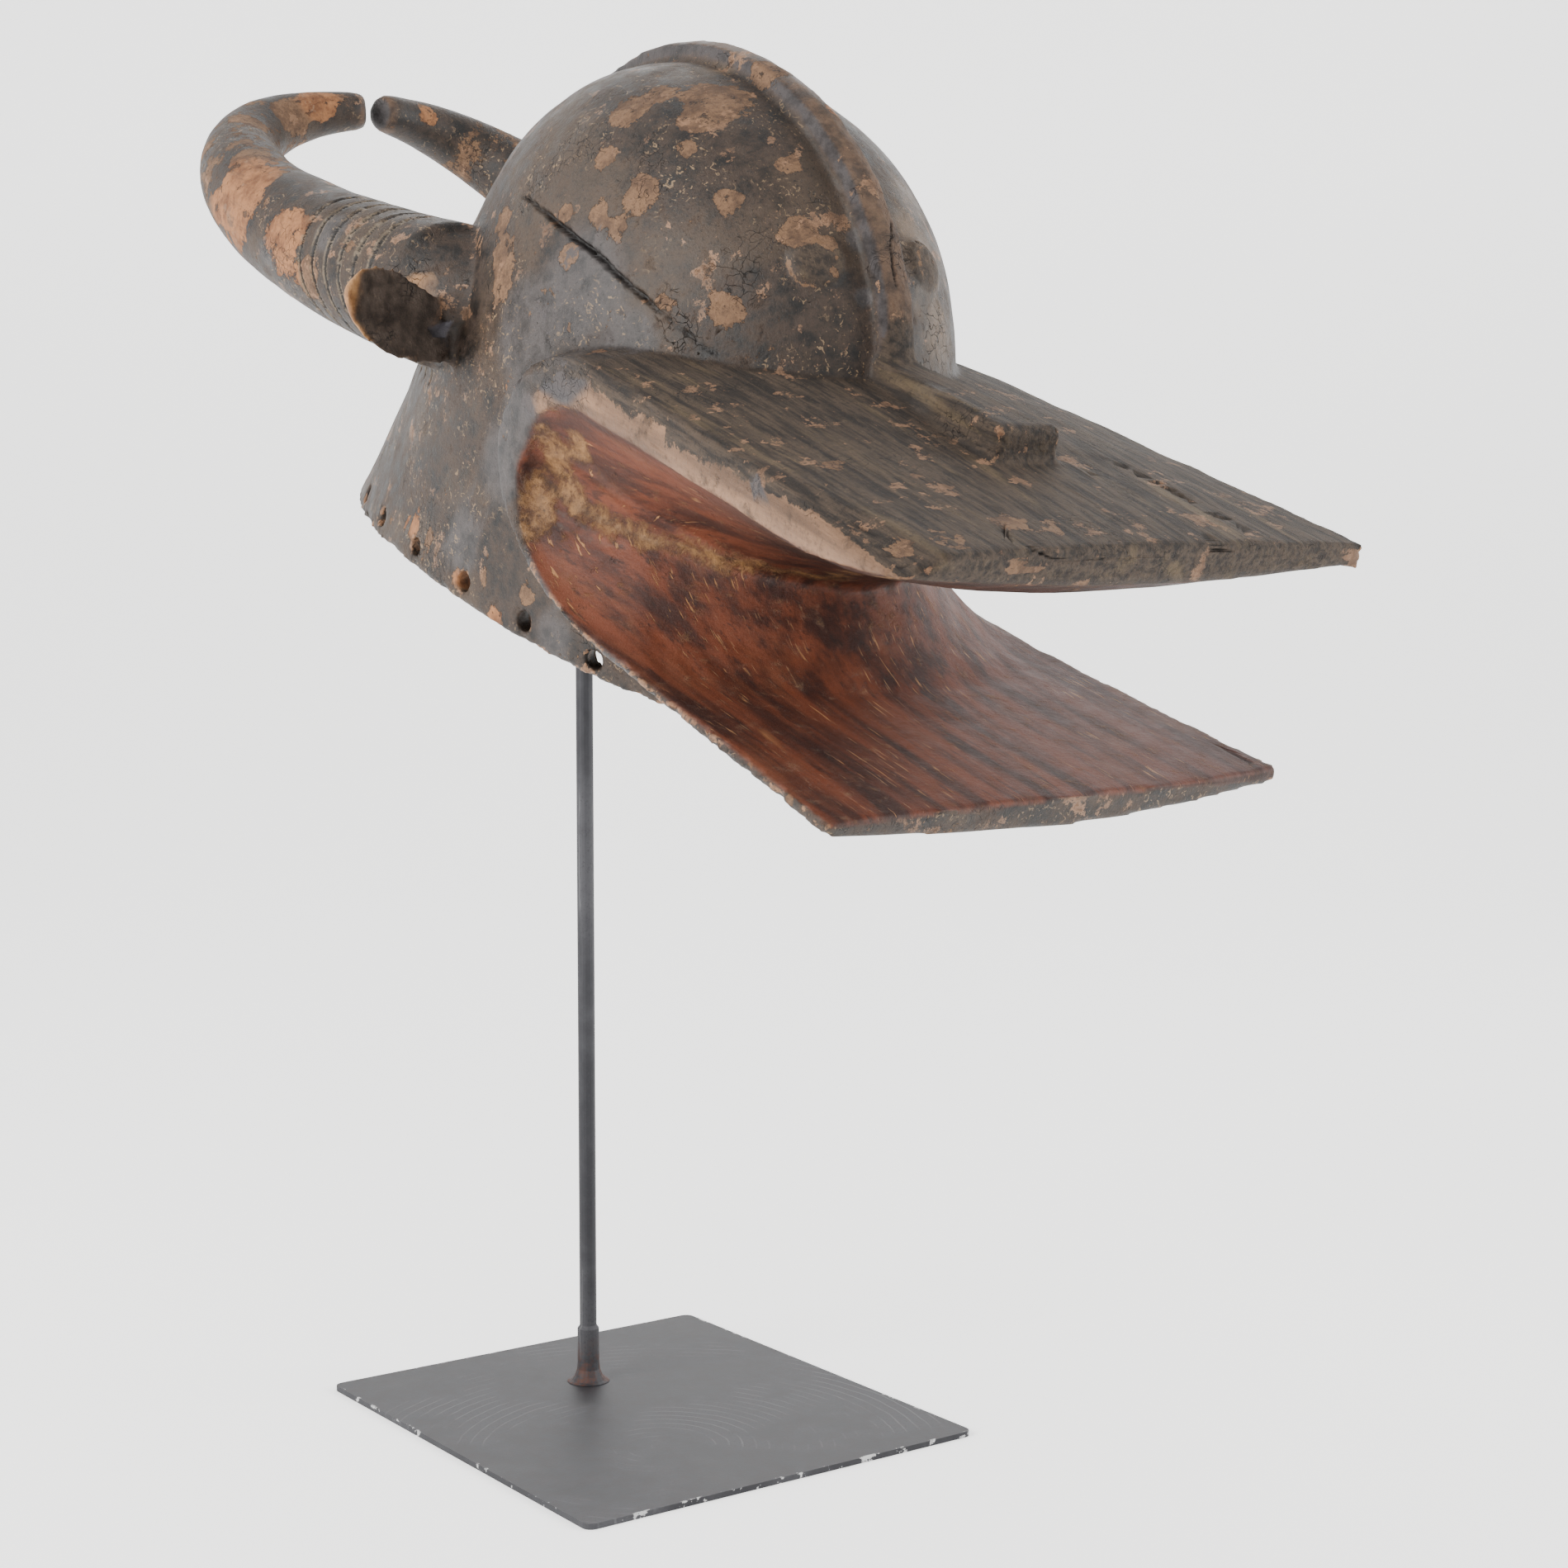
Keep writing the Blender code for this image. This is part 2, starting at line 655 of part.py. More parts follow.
def lacing_holes(collection):
    """A row of holes just above the rim, round the back of the helmet and wider on the inside."""
    middle = (HOLE_DIAMETER + HOLE_INNER_DIAMETER) / 4
    spread = (HOLE_INNER_DIAMETER - HOLE_DIAMETER) / 2 * HOLE_REACH
    for side in (1, -1):
        for index in range(HOLES_PER_SIDE):
            angle = HOLE_FIRST + index * HOLE_PITCH
            height = rim_height(angle) + HOLE_HEIGHT
            spot = helmet_point(angle, height, HELMET_WALL / 2)
            out = helmet_normal(angle, height)
            form = bmesh.new()
            bmesh.ops.create_cone(form, cap_ends=True, segments=10, radius1=middle + spread,
                                  radius2=middle - spread, depth=2 * HOLE_REACH * HELMET_WALL)
            turn = Vector((0, 0, 1)).rotation_difference(out).to_matrix().to_4x4()
            bmesh.ops.transform(form, matrix=Matrix.Translation(spot) @ turn, verts=form.verts)
            if side < 0:
                bmesh.ops.transform(form, matrix=Matrix.Scale(-1, 4, (1, 0, 0)), verts=form.verts)
            yield object_from_bmesh(f"hole_{index}_{'left' if side > 0 else 'right'}", form, collection)


def mask_frame():
    """The empty that carries everything carved, tipped forward and leaning a little."""
    frame = bpy.data.objects.new("mask_frame", None)
    bpy.context.scene.collection.objects.link(frame)
    place = Matrix.Translation((0, RIM_CENTRE_Y, RIM_HEIGHT))
    frame.matrix_world = place @ Matrix.Rotation(MASK_LEAN, 4, "Y") @ Matrix.Rotation(MASK_TILT, 4, "X")
    return frame


def build_mask(parts, tools, material):
    """The whole mask is carved from one piece of wood, so it is one solid."""
    frame = mask_frame()
    mask = helmet_body(parts)
    mask.name = "mask"
    mask.parent = frame
    mask.data.materials.append(material)
    added = [muzzle_block(tools)]
    for side in (1, -1):
        added += [horn(side, tools), ear(side, tools), eye(side, tools)]
    added += [crest(tools), nose(tools)]
    for tool in added:
        boolean(mask, as_tool(tool, frame), "UNION")
    cut = [mouth_cutter(tools), helmet_cavity(tools)]
    cut += list(broken_corners(tools)) + list(lacing_holes(tools))
    for tool in cut:
        boolean(mask, as_tool(tool, frame), "DIFFERENCE")
    return mask


def build_plate(parts, material):
    """A flat steel sheet with its corners just eased."""
    form = bmesh.new()
    bmesh.ops.create_cube(form, size=1.0)
    bmesh.ops.scale(form, vec=(PLATE_WIDTH, PLATE_DEPTH, PLATE_THICKNESS), verts=form.verts)
    upright = [edge for edge in form.edges if abs((edge.verts[0].co - edge.verts[1].co).z) > 1e-6]
    bmesh.ops.bevel(form, geom=upright, offset=PLATE_CORNER, segments=4, affect="EDGES", profile=0.5)
    plate = object_from_bmesh("base_plate", form, parts)
    plate.location.z = PLATE_THICKNESS / 2
    plate.data.materials.append(material)
    return plate


def rod_top():
    """Height of the rod's end, just under the helmet's ceiling, found up the rod's own line."""
    low, high = RIM_HEIGHT, RIM_HEIGHT + HELMET_HEIGHT
    back = ROD_SETBACK - RIM_CENTRE_Y
    for _ in range(40):
        middle = (low + high) / 2
        up = middle - RIM_HEIGHT
        y = back * math.cos(MASK_TILT) + up * math.sin(MASK_TILT)
        z = -back * math.sin(MASK_TILT) + up * math.cos(MASK_TILT)
        if z < ceiling_height(y):
            low = middle
        else:
            high = middle
    return low - CLEARANCE - ROD_DIAMETER / 2


def build_rod(parts, material):
    """A round bar with its welded foot, turned as one profile."""
    bar, sleeve, weld = ROD_DIAMETER / 2, SLEEVE_DIAMETER / 2, WELD_DIAMETER / 2
    foot, top = PLATE_THICKNESS + CLEARANCE, rod_top()
    profile = [(0, top), (bar - ROD_CHAMFER, top), (bar, top - ROD_CHAMFER)]
    profile += [(bar, foot + SLEEVE_HEIGHT), (sleeve, foot + SLEEVE_HEIGHT - ROD_CHAMFER)]
    for step in range(5):
        share = step / 4
        profile.append((mix(weld, sleeve, math.sin(math.pi / 2 * (1 - share))),
                        foot + WELD_HEIGHT * (1 - math.sin(math.pi / 2 * share))))
    profile.append((0, foot))
    form = bmesh.new()
    points = [form.verts.new((radius, 0, height)) for radius, height in profile]
    for start, end in zip(points, points[1:]):
        form.edges.new((start, end))
    mesh = bpy.data.meshes.new("stand_rod")
    form.to_mesh(mesh)
    form.free()
    rod = bpy.data.objects.new("stand_rod", mesh)
    parts.objects.link(rod)
    rod.location.y = ROD_SETBACK
    rod.data.materials.append(material)
    turn = rod.modifiers.new("turned", "SCREW")
    turn.angle = 2 * math.pi
    turn.steps = turn.render_steps = 20
    turn.use_merge_vertices = True
    turn.merge_threshold = 0.00001
    return rod


def main():
    clear_scene()
    parts = new_collection("bush_cow_mask")
    tools = new_collection("shaping_tools")
    wood = new_material("carved_wood", (0.085, 0.062, 0.048), 0.55, 0.0)
    steel = new_material("dark_steel", (0.13, 0.13, 0.135), 0.45, 0.9)
    build_mask(parts, tools, wood)
    build_plate(parts, steel)
    build_rod(parts, steel)


main()
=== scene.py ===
"""Looks for the carved bush cow helmet mask on its steel stand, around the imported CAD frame.

The mask's node is copied, remeshed finely, rounded back to its true curves and then cracked,
chipped and worn in code. Everything is in metres, in the frame's own axes.
Photo coordinates are pixels of a 1899 by 1899 picture, seen through the camera set up below.
"""

import math

import bmesh
import bpy
import numpy as np
from mathutils import Matrix, Vector, noise
from mathutils.bvhtree import BVHTree


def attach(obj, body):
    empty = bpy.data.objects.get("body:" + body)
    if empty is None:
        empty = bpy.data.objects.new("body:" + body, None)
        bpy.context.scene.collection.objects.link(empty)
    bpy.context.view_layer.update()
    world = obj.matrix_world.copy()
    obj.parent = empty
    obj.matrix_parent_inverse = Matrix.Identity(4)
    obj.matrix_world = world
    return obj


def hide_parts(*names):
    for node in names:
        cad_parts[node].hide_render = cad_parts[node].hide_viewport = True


# The camera that took the photograph, solved from the foot plate's corners
PHOTO_SIZE = 1899
PHOTO_FOCAL = 3200
SENSOR = 36.0
CAMERA_AT = Vector((-0.76666, -1.19044, 0.45983))
CAMERA_YAW = 0.626177
CAMERA_PITCH = -0.081144

# The mask's own frame: origin at the rim's centre, -Y to the jaws, +Z through the crown
RIM_CENTRE = Vector((0, 0.0306, 0.4501))
MASK_TILT = math.radians(20.0)
MASK_LEAN = math.radians(-1.4)
MASK_TURN = np.array(Matrix.Rotation(MASK_LEAN, 3, "Y") @ Matrix.Rotation(MASK_TILT, 3, "X"))

# The helmet's form, as the CAD source has it
HELMET_WIDTH = 0.2306
HELMET_LENGTH = 0.4126
HELMET_HEIGHT = 0.285
HELMET_WALL = 0.013
WIDTH_TAPER = 0.096
LENGTH_TAPER = 0.314
CROWN_FULLNESS = 5.74
CROWN_SHIFT = -0.1162
CROWN_SHIFT_BACK = 0.0793

# The horns' form
HORN_HANDLES = np.array([(0.0950, 0.0549, 0.1435), (0.1293, 0.2967, 0.1239),
                         (0.1019, 0.3768, 0.1671), (0.0045, 0.3417, 0.1826)])
HORN_ROOT_RADIUS = 0.0381
HORN_TIP_RADIUS = 0.0109
HORN_RINGS = 6
HORN_RING_FIRST = 0.006
HORN_RING_PITCH = 0.0205
HORN_RING_SLANT = 0.014
HORN_RING_LEAN = 0.014
HORN_RING_HALF_WIDTH = 0.0015
HORN_RING_DEPTH = 0.0016
HORN_RUN = 0.70

# The jaws' form
JAW_FRONT = -0.391
JAW_BACK = -0.0527
JAW_HALF_WIDTH_FRONT = 0.130
JAW_HALF_WIDTH_BACK = 0.1165
MOUTH_BACK = -0.0757
MOUTH_BACK_HEIGHT = 0.0925
FLOOR_LEVEL = 0.041
FLOOR_ROUNDING = 0.097
BOARD_LEVEL = 0.1605
BOARD_ROUNDING = 0.080
JAW_BACK_HEIGHT = 0.105

# The lacing holes along the rim
RIM_ARCH = 0.0105
HOLE_DIAMETER = 0.0096
HOLE_INNER_DIAMETER = 0.0136
HOLE_HEIGHT = 0.0095
HOLE_FIRST = math.radians(-38.4)
HOLE_PITCH = math.radians(15.1)
HOLES_PER_SIDE = 9

# The ears, eyes and crest
EAR_ROOT = np.array((0.104, 0.0213, 0.1285))
EAR_TIP = np.array((0.178, 0.0034, 0.1570))
EAR_HALF_WIDTH = 0.0245
EAR_ROOT_HALF_WIDTH = 0.0140
EAR_WIDEST = 0.55
EYE_AT = (985, 316)
EYE_RADIUS = 0.0115
EYE_RELIEF = 0.0026
CREST_HALF_WIDTH = 0.0095

# How deep the carving's marks go
SWELL_DEPTH = 0.0006
FINE_SWELL_DEPTH = 0.0003
ADZE_DEPTH = 0.0007
CHIP_DEPTH = 0.0019
BOARD_FURROW_DEPTH = 0.00035
MOUTH_FURROW_DEPTH = 0.00018
MOUTH_WAVE_DEPTH = 0.0007
NOTCH_DEPTH = 0.0035

# The foot plate
PLATE_WIDTH = 0.240
PLATE_DEPTH = 0.272

# How fine the carved mesh is
VOXEL = 0.0021
COARSE_TRIANGLES = 112000
SNAP_RANGE = 0.0024
ANY_WAY = -2.0
CRACK_STEP = 0.0009
RING_STEP = 0.0011

# Open cracks and seams: half width and depth in metres, then the line in the photograph
CRACKS = {
    "main_crack": (0.0019, 0.0065, [
        (617, 228), (641, 241), (675, 270), (695, 286), (721, 307), (747, 331), (778, 359), (830, 403),
        (856, 422), (876, 436)]),
    "brow_seam": (0.0006, 0.0010, [
        (747, 102), (813, 141), (861, 189), (900, 252), (939, 318), (959, 352), (978, 387)]),
    "far_brow": (0.0007, 0.0016, [(1074, 239), (1078, 274), (1079, 300), (1083, 340), (1094, 392)]),
    "far_temple": (0.0006, 0.0014, [(1102, 281), (1110, 290), (1120, 296), (1131, 318)]),
    "board_corner": (0.0008, 0.0030, [(1191, 615), (1223, 651), (1254, 666), (1280, 680), (1303, 693)]),
    "board_long": (0.0011, 0.0040, [
        (1294, 536), (1360, 564), (1415, 592), (1466, 619), (1524, 652), (1539, 678)]),
    "board_inner": (0.0006, 0.0016, [(1283, 556), (1336, 580), (1384, 606), (1415, 612)]),
    "board_middle": (0.0006, 0.0018, [(1325, 619), (1366, 650), (1388, 674)]),
    "board_far": (0.0008, 0.0028, [(1443, 637), (1472, 657), (1480, 672), (1490, 684)]),
    "board_front": (0.0006, 0.0018, [(1411, 641), (1437, 672)]),
    "near_corner": (0.0009, 0.0030, [(1036, 632), (1062, 660), (1098, 690)]),
    "beside_nose": (0.0006, 0.0014, [(1145, 513), (1185, 540), (1205, 556)]),
    "nose_end": (0.0006, 0.0016, [(1230, 492), (1272, 513), (1279, 540)]),
    "rim_crack": (0.0006, 0.0020, [(763, 806), (757, 812), (748, 822), (738, 832)]),
    "lower_far": (0.0009, 0.0022, [(1478, 903), (1505, 918), (1521, 928)]),
    "horn_crack": (0.0004, 0.0008, [(272, 210), (290, 228), (318, 255)]),
}

# Worn and stained spots, and pale spots, mostly on the dome's far half, that are partly the wood's
# lighter tone and partly a painted highlight: place in the photograph and radius in its pixels
SPOTS = {
    "worn": [
        (865, 121, 44), (845, 145, 22), (765, 132, 30), (797, 113, 22), (730, 193, 17), (830, 182, 15),
        (725, 257, 19), (778, 235, 26), (747, 274, 16), (954, 200, 16), (882, 243, 19), (965, 283, 22),
        (1004, 292, 12), (1010, 330, 9), (880, 376, 20), (806, 365, 13), (691, 397, 9), (723, 424, 10),
        (608, 270, 20), (610, 310, 28), (608, 345, 24), (686, 259, 12), (689, 307, 14), (935, 82, 26),
        (1010, 135, 16), (500, 630, 20), (562, 698, 16), (591, 710, 12), (598, 748, 16), (636, 722, 14),
        (520, 655, 12), (290, 235, 60), (345, 292, 44), (305, 190, 30), (372, 335, 24), (262, 254, 22),
        (387, 122, 22), (352, 136, 26), (310, 150, 18), (443, 120, 9), (520, 138, 13), (423, 298, 8),
        (1230, 635, 28), (1277, 642, 18), (1450, 631, 18), (1152, 656, 22), (1090, 664, 16),
        (1000, 560, 9), (1130, 580, 11), (900, 470, 12), (960, 520, 9), (800, 468, 11), (1370, 690, 14),
        (1230, 690, 16), (740, 880, 8), (700, 735, 9), (820, 850, 10), (905, 925, 9), (955, 968, 9),
        (770, 790, 8)],
    "orange": [
        (571, 405, 12), (564, 459, 9), (557, 465, 11), (552, 568, 8), (581, 602, 6), (500, 630, 16),
        (548, 606, 8), (615, 458, 6), (280, 245, 60), (340, 300, 46), (440, 120, 10), (520, 138, 12),
        (562, 698, 12), (724, 424, 7), (598, 748, 10), (387, 122, 22), (1010, 135, 14)],
    "grey": [
        (700, 350, 70), (640, 400, 60), (600, 560, 55), (560, 650, 40), (660, 700, 50), (323, 307, 18),
        (399, 280, 24), (740, 800, 40), (670, 770, 30), (690, 430, 50), (620, 500, 50), (580, 760, 40),
        (760, 420, 40), (1025, 210, 16), (1040, 290, 14), (1045, 360, 12), (985, 150, 14),
        (912, 590, 16), (1120, 480, 24), (820, 870, 30), (900, 940, 30)],
    # Partly the wood's own lighter tone, partly a painted highlight where light from the right falls on
    # the dome's far half.
    "pale": [
        (1115, 300, 60), (1125, 370, 50), (1100, 240, 40), (1135, 410, 40), (880, 70, 34),
        (1130, 330, 40)],
    "ochre": [
        (678, 560, 24), (690, 590, 20), (650, 600, 26), (655, 625, 20), (700, 540, 22), (665, 530, 20),
        (640, 640, 18), (700, 612, 14)],
}

# The golden line of tool marks along the foot of the mouth's bulge
GOLDEN_LINE = [(678, 576), (700, 612), (735, 634), (766, 647), (815, 660), (868, 674), (930, 687),
               (1018, 702), (1085, 705)]
GOLDEN_REACH = 0.009

# Single pale scratches, by their ends
SCRATCHES = [[(852, 582), (838, 610)], [(817, 615), (802, 650)], [(921, 592), (917, 625)],
             [(1142, 800), (1146, 835)], [(850, 800), (905, 850)], [(868, 838), (930, 895)]]

# The facet at the near ear's root
EAR_NOTCH = [(516, 396), (553, 386), (536, 428)]


def clamp01(values):
    return np.clip(values, 0.0, 1.0)


def ramp(values, low, high):
    share = clamp01((values - low) / (high - low))
    return share * share * (3 - 2 * share)


def srgb(red, green, blue):
    """A colour read off a screen, as the linear values that a shader takes."""
    linear = []
    for channel in (red, green, blue):
        share = channel / 255
        linear.append(share / 12.92 if share <= 0.04045 else ((share + 0.055) / 1.055) ** 2.4)
    return (*linear, 1.0)


# The camera, and where a pixel of the photograph lies on the mask


def camera_axes():
    forward = Vector((math.sin(CAMERA_YAW) * math.cos(CAMERA_PITCH),
                      math.cos(CAMERA_YAW) * math.cos(CAMERA_PITCH),
                      math.sin(CAMERA_PITCH)))
    right = Vector((math.cos(CAMERA_YAW), -math.sin(CAMERA_YAW), 0))
    return forward, right, right.cross(forward)


def photo_ray(across, down):
    forward, right, up = camera_axes()
    middle = (PHOTO_SIZE - 1) / 2
    sideways = (across - middle) / PHOTO_FOCAL
    upwards = (middle - down) / PHOTO_FOCAL
    return (forward + right * sideways + up * upwards).normalized()


def to_mask(points):
    """World points as an array in the mask's own frame."""
    return (points - np.array(RIM_CENTRE)) @ MASK_TURN


def to_world(points):
    return points @ MASK_TURN.T + np.array(RIM_CENTRE)


class Surface:
    """The CAD mask, for finding where the photograph's pixels lie on it."""

    def __init__(self, node):
        mesh = node.data
        self.tree = BVHTree.FromPolygons([v.co for v in mesh.vertices],
                                         [p.vertices for p in mesh.polygons])

    def at(self, across, down):
        """The world point behind a pixel, and metres to one pixel there, or None off the mask."""
        ray = photo_ray(across, down)
        spot = self.tree.ray_cast(CAMERA_AT, ray)[0]
        if spot is None:
            return None
        return spot, (spot - CAMERA_AT).length / PHOTO_FOCAL

    def line(self, pixels):
        """The world points behind these pixels, without those that miss the mask."""
        spots = [self.at(*pixel) for pixel in pixels]
        return [np.array(spot[0]) for spot in spots if spot is not None]


# Plain arrays in and out of meshes


def rows_of(items, name, width, kind=float):
    """One property of a mesh's vertices or edges, a row for each."""
    flat = np.empty(len(items) * width, dtype=kind)
    items.foreach_get(name, flat)
    return flat.reshape(-1, width)


def mesh_arrays(mesh):
    """Points, normals and the vertex numbers of the edges."""
    return (rows_of(mesh.vertices, "co", 3), rows_of(mesh.vertex_normals, "vector", 3),
            rows_of(mesh.edges, "vertices", 2, np.int64))


def set_points(mesh, points):
    mesh.vertices.foreach_set("co", points.ravel())
    mesh.update()


def neighbour_mean(points, edges):
    """The mean of each vertex's neighbours, for rows of any width."""
    count = len(points)
    first, second = edges[:, 0], edges[:, 1]
    links = np.bincount(first, minlength=count) + np.bincount(second, minlength=count)
    links = np.maximum(links, 1)
    mean = np.empty_like(points)
    for axis in range(points.shape[1]):
        total = np.bincount(first, weights=points[second, axis], minlength=count)
        total += np.bincount(second, weights=points[first, axis], minlength=count)
        mean[:, axis] = total / links
    return mean


def relax(points, edges, rounds, weight):
    """Laplacian smoothing, stronger where the weight is higher."""
    for _ in range(rounds):
        points = points + (neighbour_mean(points, edges) - points) * weight[:, None]
    return points


def noise_at(points, scale, seed=0.0):
    """Smooth noise from -1 to 1 at each point."""
    shift = Vector((seed * 7.13, seed * 3.71, seed * 5.37))
    return np.array([noise.noise(Vector(point) * scale + shift) for point in points])


# The true curves that the faceted frame stands for


def helmet_section(share, inset):
    """Half width, half length and middle of the helmet at this share of its height."""
    half_width = (HELMET_WIDTH / 2 - inset) * (1 - WIDTH_TAPER * share)
    half_length = (HELMET_LENGTH / 2 - inset) * (1 - LENGTH_TAPER * share)
    return half_width, half_length, CROWN_SHIFT * share + CROWN_SHIFT_BACK * share**2


def helmet_field(points, inset=0.0):
    """Zero on the helmet's wall, below zero inside it."""
    height = HELMET_HEIGHT - inset
    half_width, half_length, centre = helmet_section(clamp01(points[:, 2] / height), inset)
    round_off = (np.maximum(points[:, 2], 0) / height) ** CROWN_FULLNESS
    across, along = points[:, 0] / half_width, (points[:, 1] - centre) / half_length
    return across**2 + along**2 + round_off - 1


def helmet_offset(points, inset=0.0):
    """Distance outside the wall and the wall's outward direction, to first order."""
    step = 1e-5
    value = helmet_field(points, inset)
    slope = np.empty_like(points)
    for axis in range(3):
        moved = points.copy()
        moved[:, axis] += step
        slope[:, axis] = (helmet_field(moved, inset) - value) / step
    size = np.maximum(np.linalg.norm(slope, axis=1), 1e-6)
    return value / size, slope / size[:, None]


def one_half(points):
    """The points with those of the animal's right side mirrored onto its left."""
    return np.column_stack((np.abs(points[:, 0]), points[:, 1:]))


def horn_line(shares):
    shares = shares[:, None]
    rest = 1 - shares
    weights = (rest**3, 3 * rest**2 * shares, 3 * rest * shares**2, shares**3)
    return sum(weight * handle for weight, handle in zip(weights, HORN_HANDLES))


def horn_slopes(shares):
    """First and second derivatives of the horn's middle line."""
    shares = shares[:, None]
    steps = np.diff(HORN_HANDLES, axis=0)
    turns = np.diff(steps, axis=0)
    rest = 1 - shares
    first = 3 * (rest**2 * steps[0] + 2 * rest * shares * steps[1] + shares**2 * steps[2])
    return first, 6 * (rest * turns[0] + shares * turns[1])


def horn_offset(points):
    """Distance outside the horn, outward direction, and share along it, for either horn."""
    mirrored = one_half(points)
    shares = np.linspace(0, 1, 121)
    line = horn_line(shares)
    along = np.empty(len(points))
    for start in range(0, len(points), 20000):
        block = mirrored[start:start + 20000]
        apart = ((block[:, None, :] - line[None, :, :]) ** 2).sum(axis=2)
        along[start:start + 20000] = shares[apart.argmin(axis=1)]
    for _ in range(3):
        out = mirrored - horn_line(along)
        first, second = horn_slopes(along)
        slide = (out * first).sum(axis=1)
        bend = (first**2).sum(axis=1) - (out * second).sum(axis=1)
        along = np.clip(along + slide / np.maximum(bend, 0.1), -0.1, 1.1)
    out = mirrored - horn_line(along)
    distance = np.linalg.norm(out, axis=1)
    out /= np.maximum(distance, 1e-6)[:, None]
    out[:, 0] *= np.sign(points[:, 0])
    radius = HORN_ROOT_RADIUS + (HORN_TIP_RADIUS - HORN_ROOT_RADIUS) * along
    return distance - radius, out, along


def ring_distance(points):
    """Metres along the horn to its nearest incised ring, or a metre away from the horns."""
    away, out, along = horn_offset(points)
    wander = 0.0020 * noise_at(points, 38, 8) + 0.0010 * noise_at(points, 120, 9)
    outer_side = out[:, 0] * np.sign(points[:, 0])
    wander = wander - HORN_RING_SLANT * out[:, 2] - HORN_RING_LEAN * outer_side
    nearest = np.full(len(points), 1.0)
    for ring in range(HORN_RINGS):
        middle = HORN_RING_FIRST + ring * HORN_RING_PITCH
        nearest = np.minimum(nearest, np.abs(along + wander - middle) * HORN_RUN)
    on_horn = (np.abs(away) < 0.007) & (points[:, 1] > 0.04)
    return np.where(on_horn, nearest, 1.0)


def snap(points, normals, offset, outward, facing, reach=SNAP_RANGE, limit=None, lean=0.75):
    """Moves the points that stand near a true curve, and face its way, onto it."""
    aligned = (normals * outward).sum(axis=1) * facing
    weight = 1 - ramp(np.abs(offset), 0.6 * reach, reach)
    weight = weight * ramp(aligned, lean, lean + 0.18)
    if limit is not None:
        weight = weight * limit
    return points - outward * (offset * weight)[:, None]


def jaw_half_width(y):
    share = clamp01((y - JAW_FRONT) / (JAW_BACK - JAW_FRONT))
    return JAW_HALF_WIDTH_FRONT + (JAW_HALF_WIDTH_BACK - JAW_HALF_WIDTH_FRONT) * share


def turned_level(y, back, rounding, back_height, level):
    """Height of a surface that is level in front and turns in a quarter round to its back."""
    run = clamp01((y - (back - rounding)) / rounding)
    return back_height + (level - back_height) * np.sqrt(1 - run**2)


def floor_level(y):
    """Height of the lower jaw's top along its edges."""
    return turned_level(y, MOUTH_BACK, FLOOR_ROUNDING, MOUTH_BACK_HEIGHT, FLOOR_LEVEL)


def board_level(y):
    """Height of the board's top along its side edges."""
    return turned_level(y, JAW_BACK, BOARD_ROUNDING, JAW_BACK_HEIGHT, BOARD_LEVEL)


def helmet_point(angle, height, inset=0.0):
    share = height / (HELMET_HEIGHT - inset)
    round_off = math.sqrt(max(0.0, 1 - share**CROWN_FULLNESS))
    half_width, half_length, centre = helmet_section(share, inset)
    across, along = half_width * math.cos(angle), half_length * math.sin(angle)
    return np.array((across * round_off, centre + along * round_off, height))


def hole_axes():
    """Middle and outward direction of every lacing hole, in the mask's frame."""
    step = 1e-4
    for index in range(HOLES_PER_SIDE):
        angle = HOLE_FIRST + index * HOLE_PITCH
        height = RIM_ARCH * math.cos(angle) ** 4 + HOLE_HEIGHT
        along = helmet_point(angle + step, height) - helmet_point(angle - step, height)
        upward = helmet_point(angle, height + step) - helmet_point(angle, height - step)
        out = np.cross(along, upward)
        out /= np.linalg.norm(out)
        spot = helmet_point(angle, height, HELMET_WALL / 2)
        for side in (1, -1):
            mirror = np.array((side, 1, 1))
            yield spot * mirror, out * mirror


def hole_offset(points):
    """Distance outside the nearest lacing hole's wall, and the way out from its axis."""
    offset = np.full(len(points), 1.0)
    outward = np.zeros_like(points)
    for spot, out in hole_axes():
        near = np.where(np.linalg.norm(points - spot, axis=1) < 0.016)[0]
        axial = (points[near] - spot) @ out
        radial = points[near] - spot - axial[:, None] * out
        distance = np.maximum(np.linalg.norm(radial, axis=1), 1e-6)
        flare = (HOLE_DIAMETER - HOLE_INNER_DIAMETER) / 2 * axial / HELMET_WALL
        gap = distance - (HOLE_DIAMETER + HOLE_INNER_DIAMETER) / 4 - flare
        better = np.abs(gap) < np.abs(offset[near])
        offset[near[better]] = gap[better]
        outward[near[better]] = (radial / distance[:, None])[better]
    return offset, outward


def ear_rim(points):
    """Distance in from the outline of either ear, along its face."""
    mirrored = one_half(points)
    along = EAR_TIP - EAR_ROOT
    length = np.linalg.norm(along)
    upright = np.array((0, math.sin(MASK_TILT), math.cos(MASK_TILT)))
    facing = np.cross(along, upright)
    width_way = np.cross(facing, along)
    width_way /= np.linalg.norm(width_way)
    share = (mirrored - EAR_ROOT) @ along / length**2
    across = (mirrored - EAR_ROOT) @ width_way
    grow = np.sin(math.pi / 2 * clamp01(share / EAR_WIDEST))
    fall = np.sqrt(1 - clamp01((share - EAR_WIDEST) / (1 - EAR_WIDEST)) ** 2)
    half = (EAR_ROOT_HALF_WIDTH + (EAR_HALF_WIDTH - EAR_ROOT_HALF_WIDTH) * grow) * fall
    depth = (mirrored - EAR_ROOT) @ (facing / np.linalg.norm(facing))
    return np.minimum(half - np.abs(across), (1 - share) * length * 0.6), share, np.abs(depth)


def eye_distance(points, eyes):
    """Distance to the nearer eye's middle, in the mask's frame."""
    return np.minimum(*[np.linalg.norm(points - eye, axis=1) for eye in eyes])


def eye_places(surface):
    """Both eyes in the mask's frame, the second one mirrored from the one in the photograph."""
    seen = to_mask(np.array([surface.at(*EYE_AT)[0]]))[0]
    return [seen, seen * np.array([-1, 1, 1])]


# The fine mesh


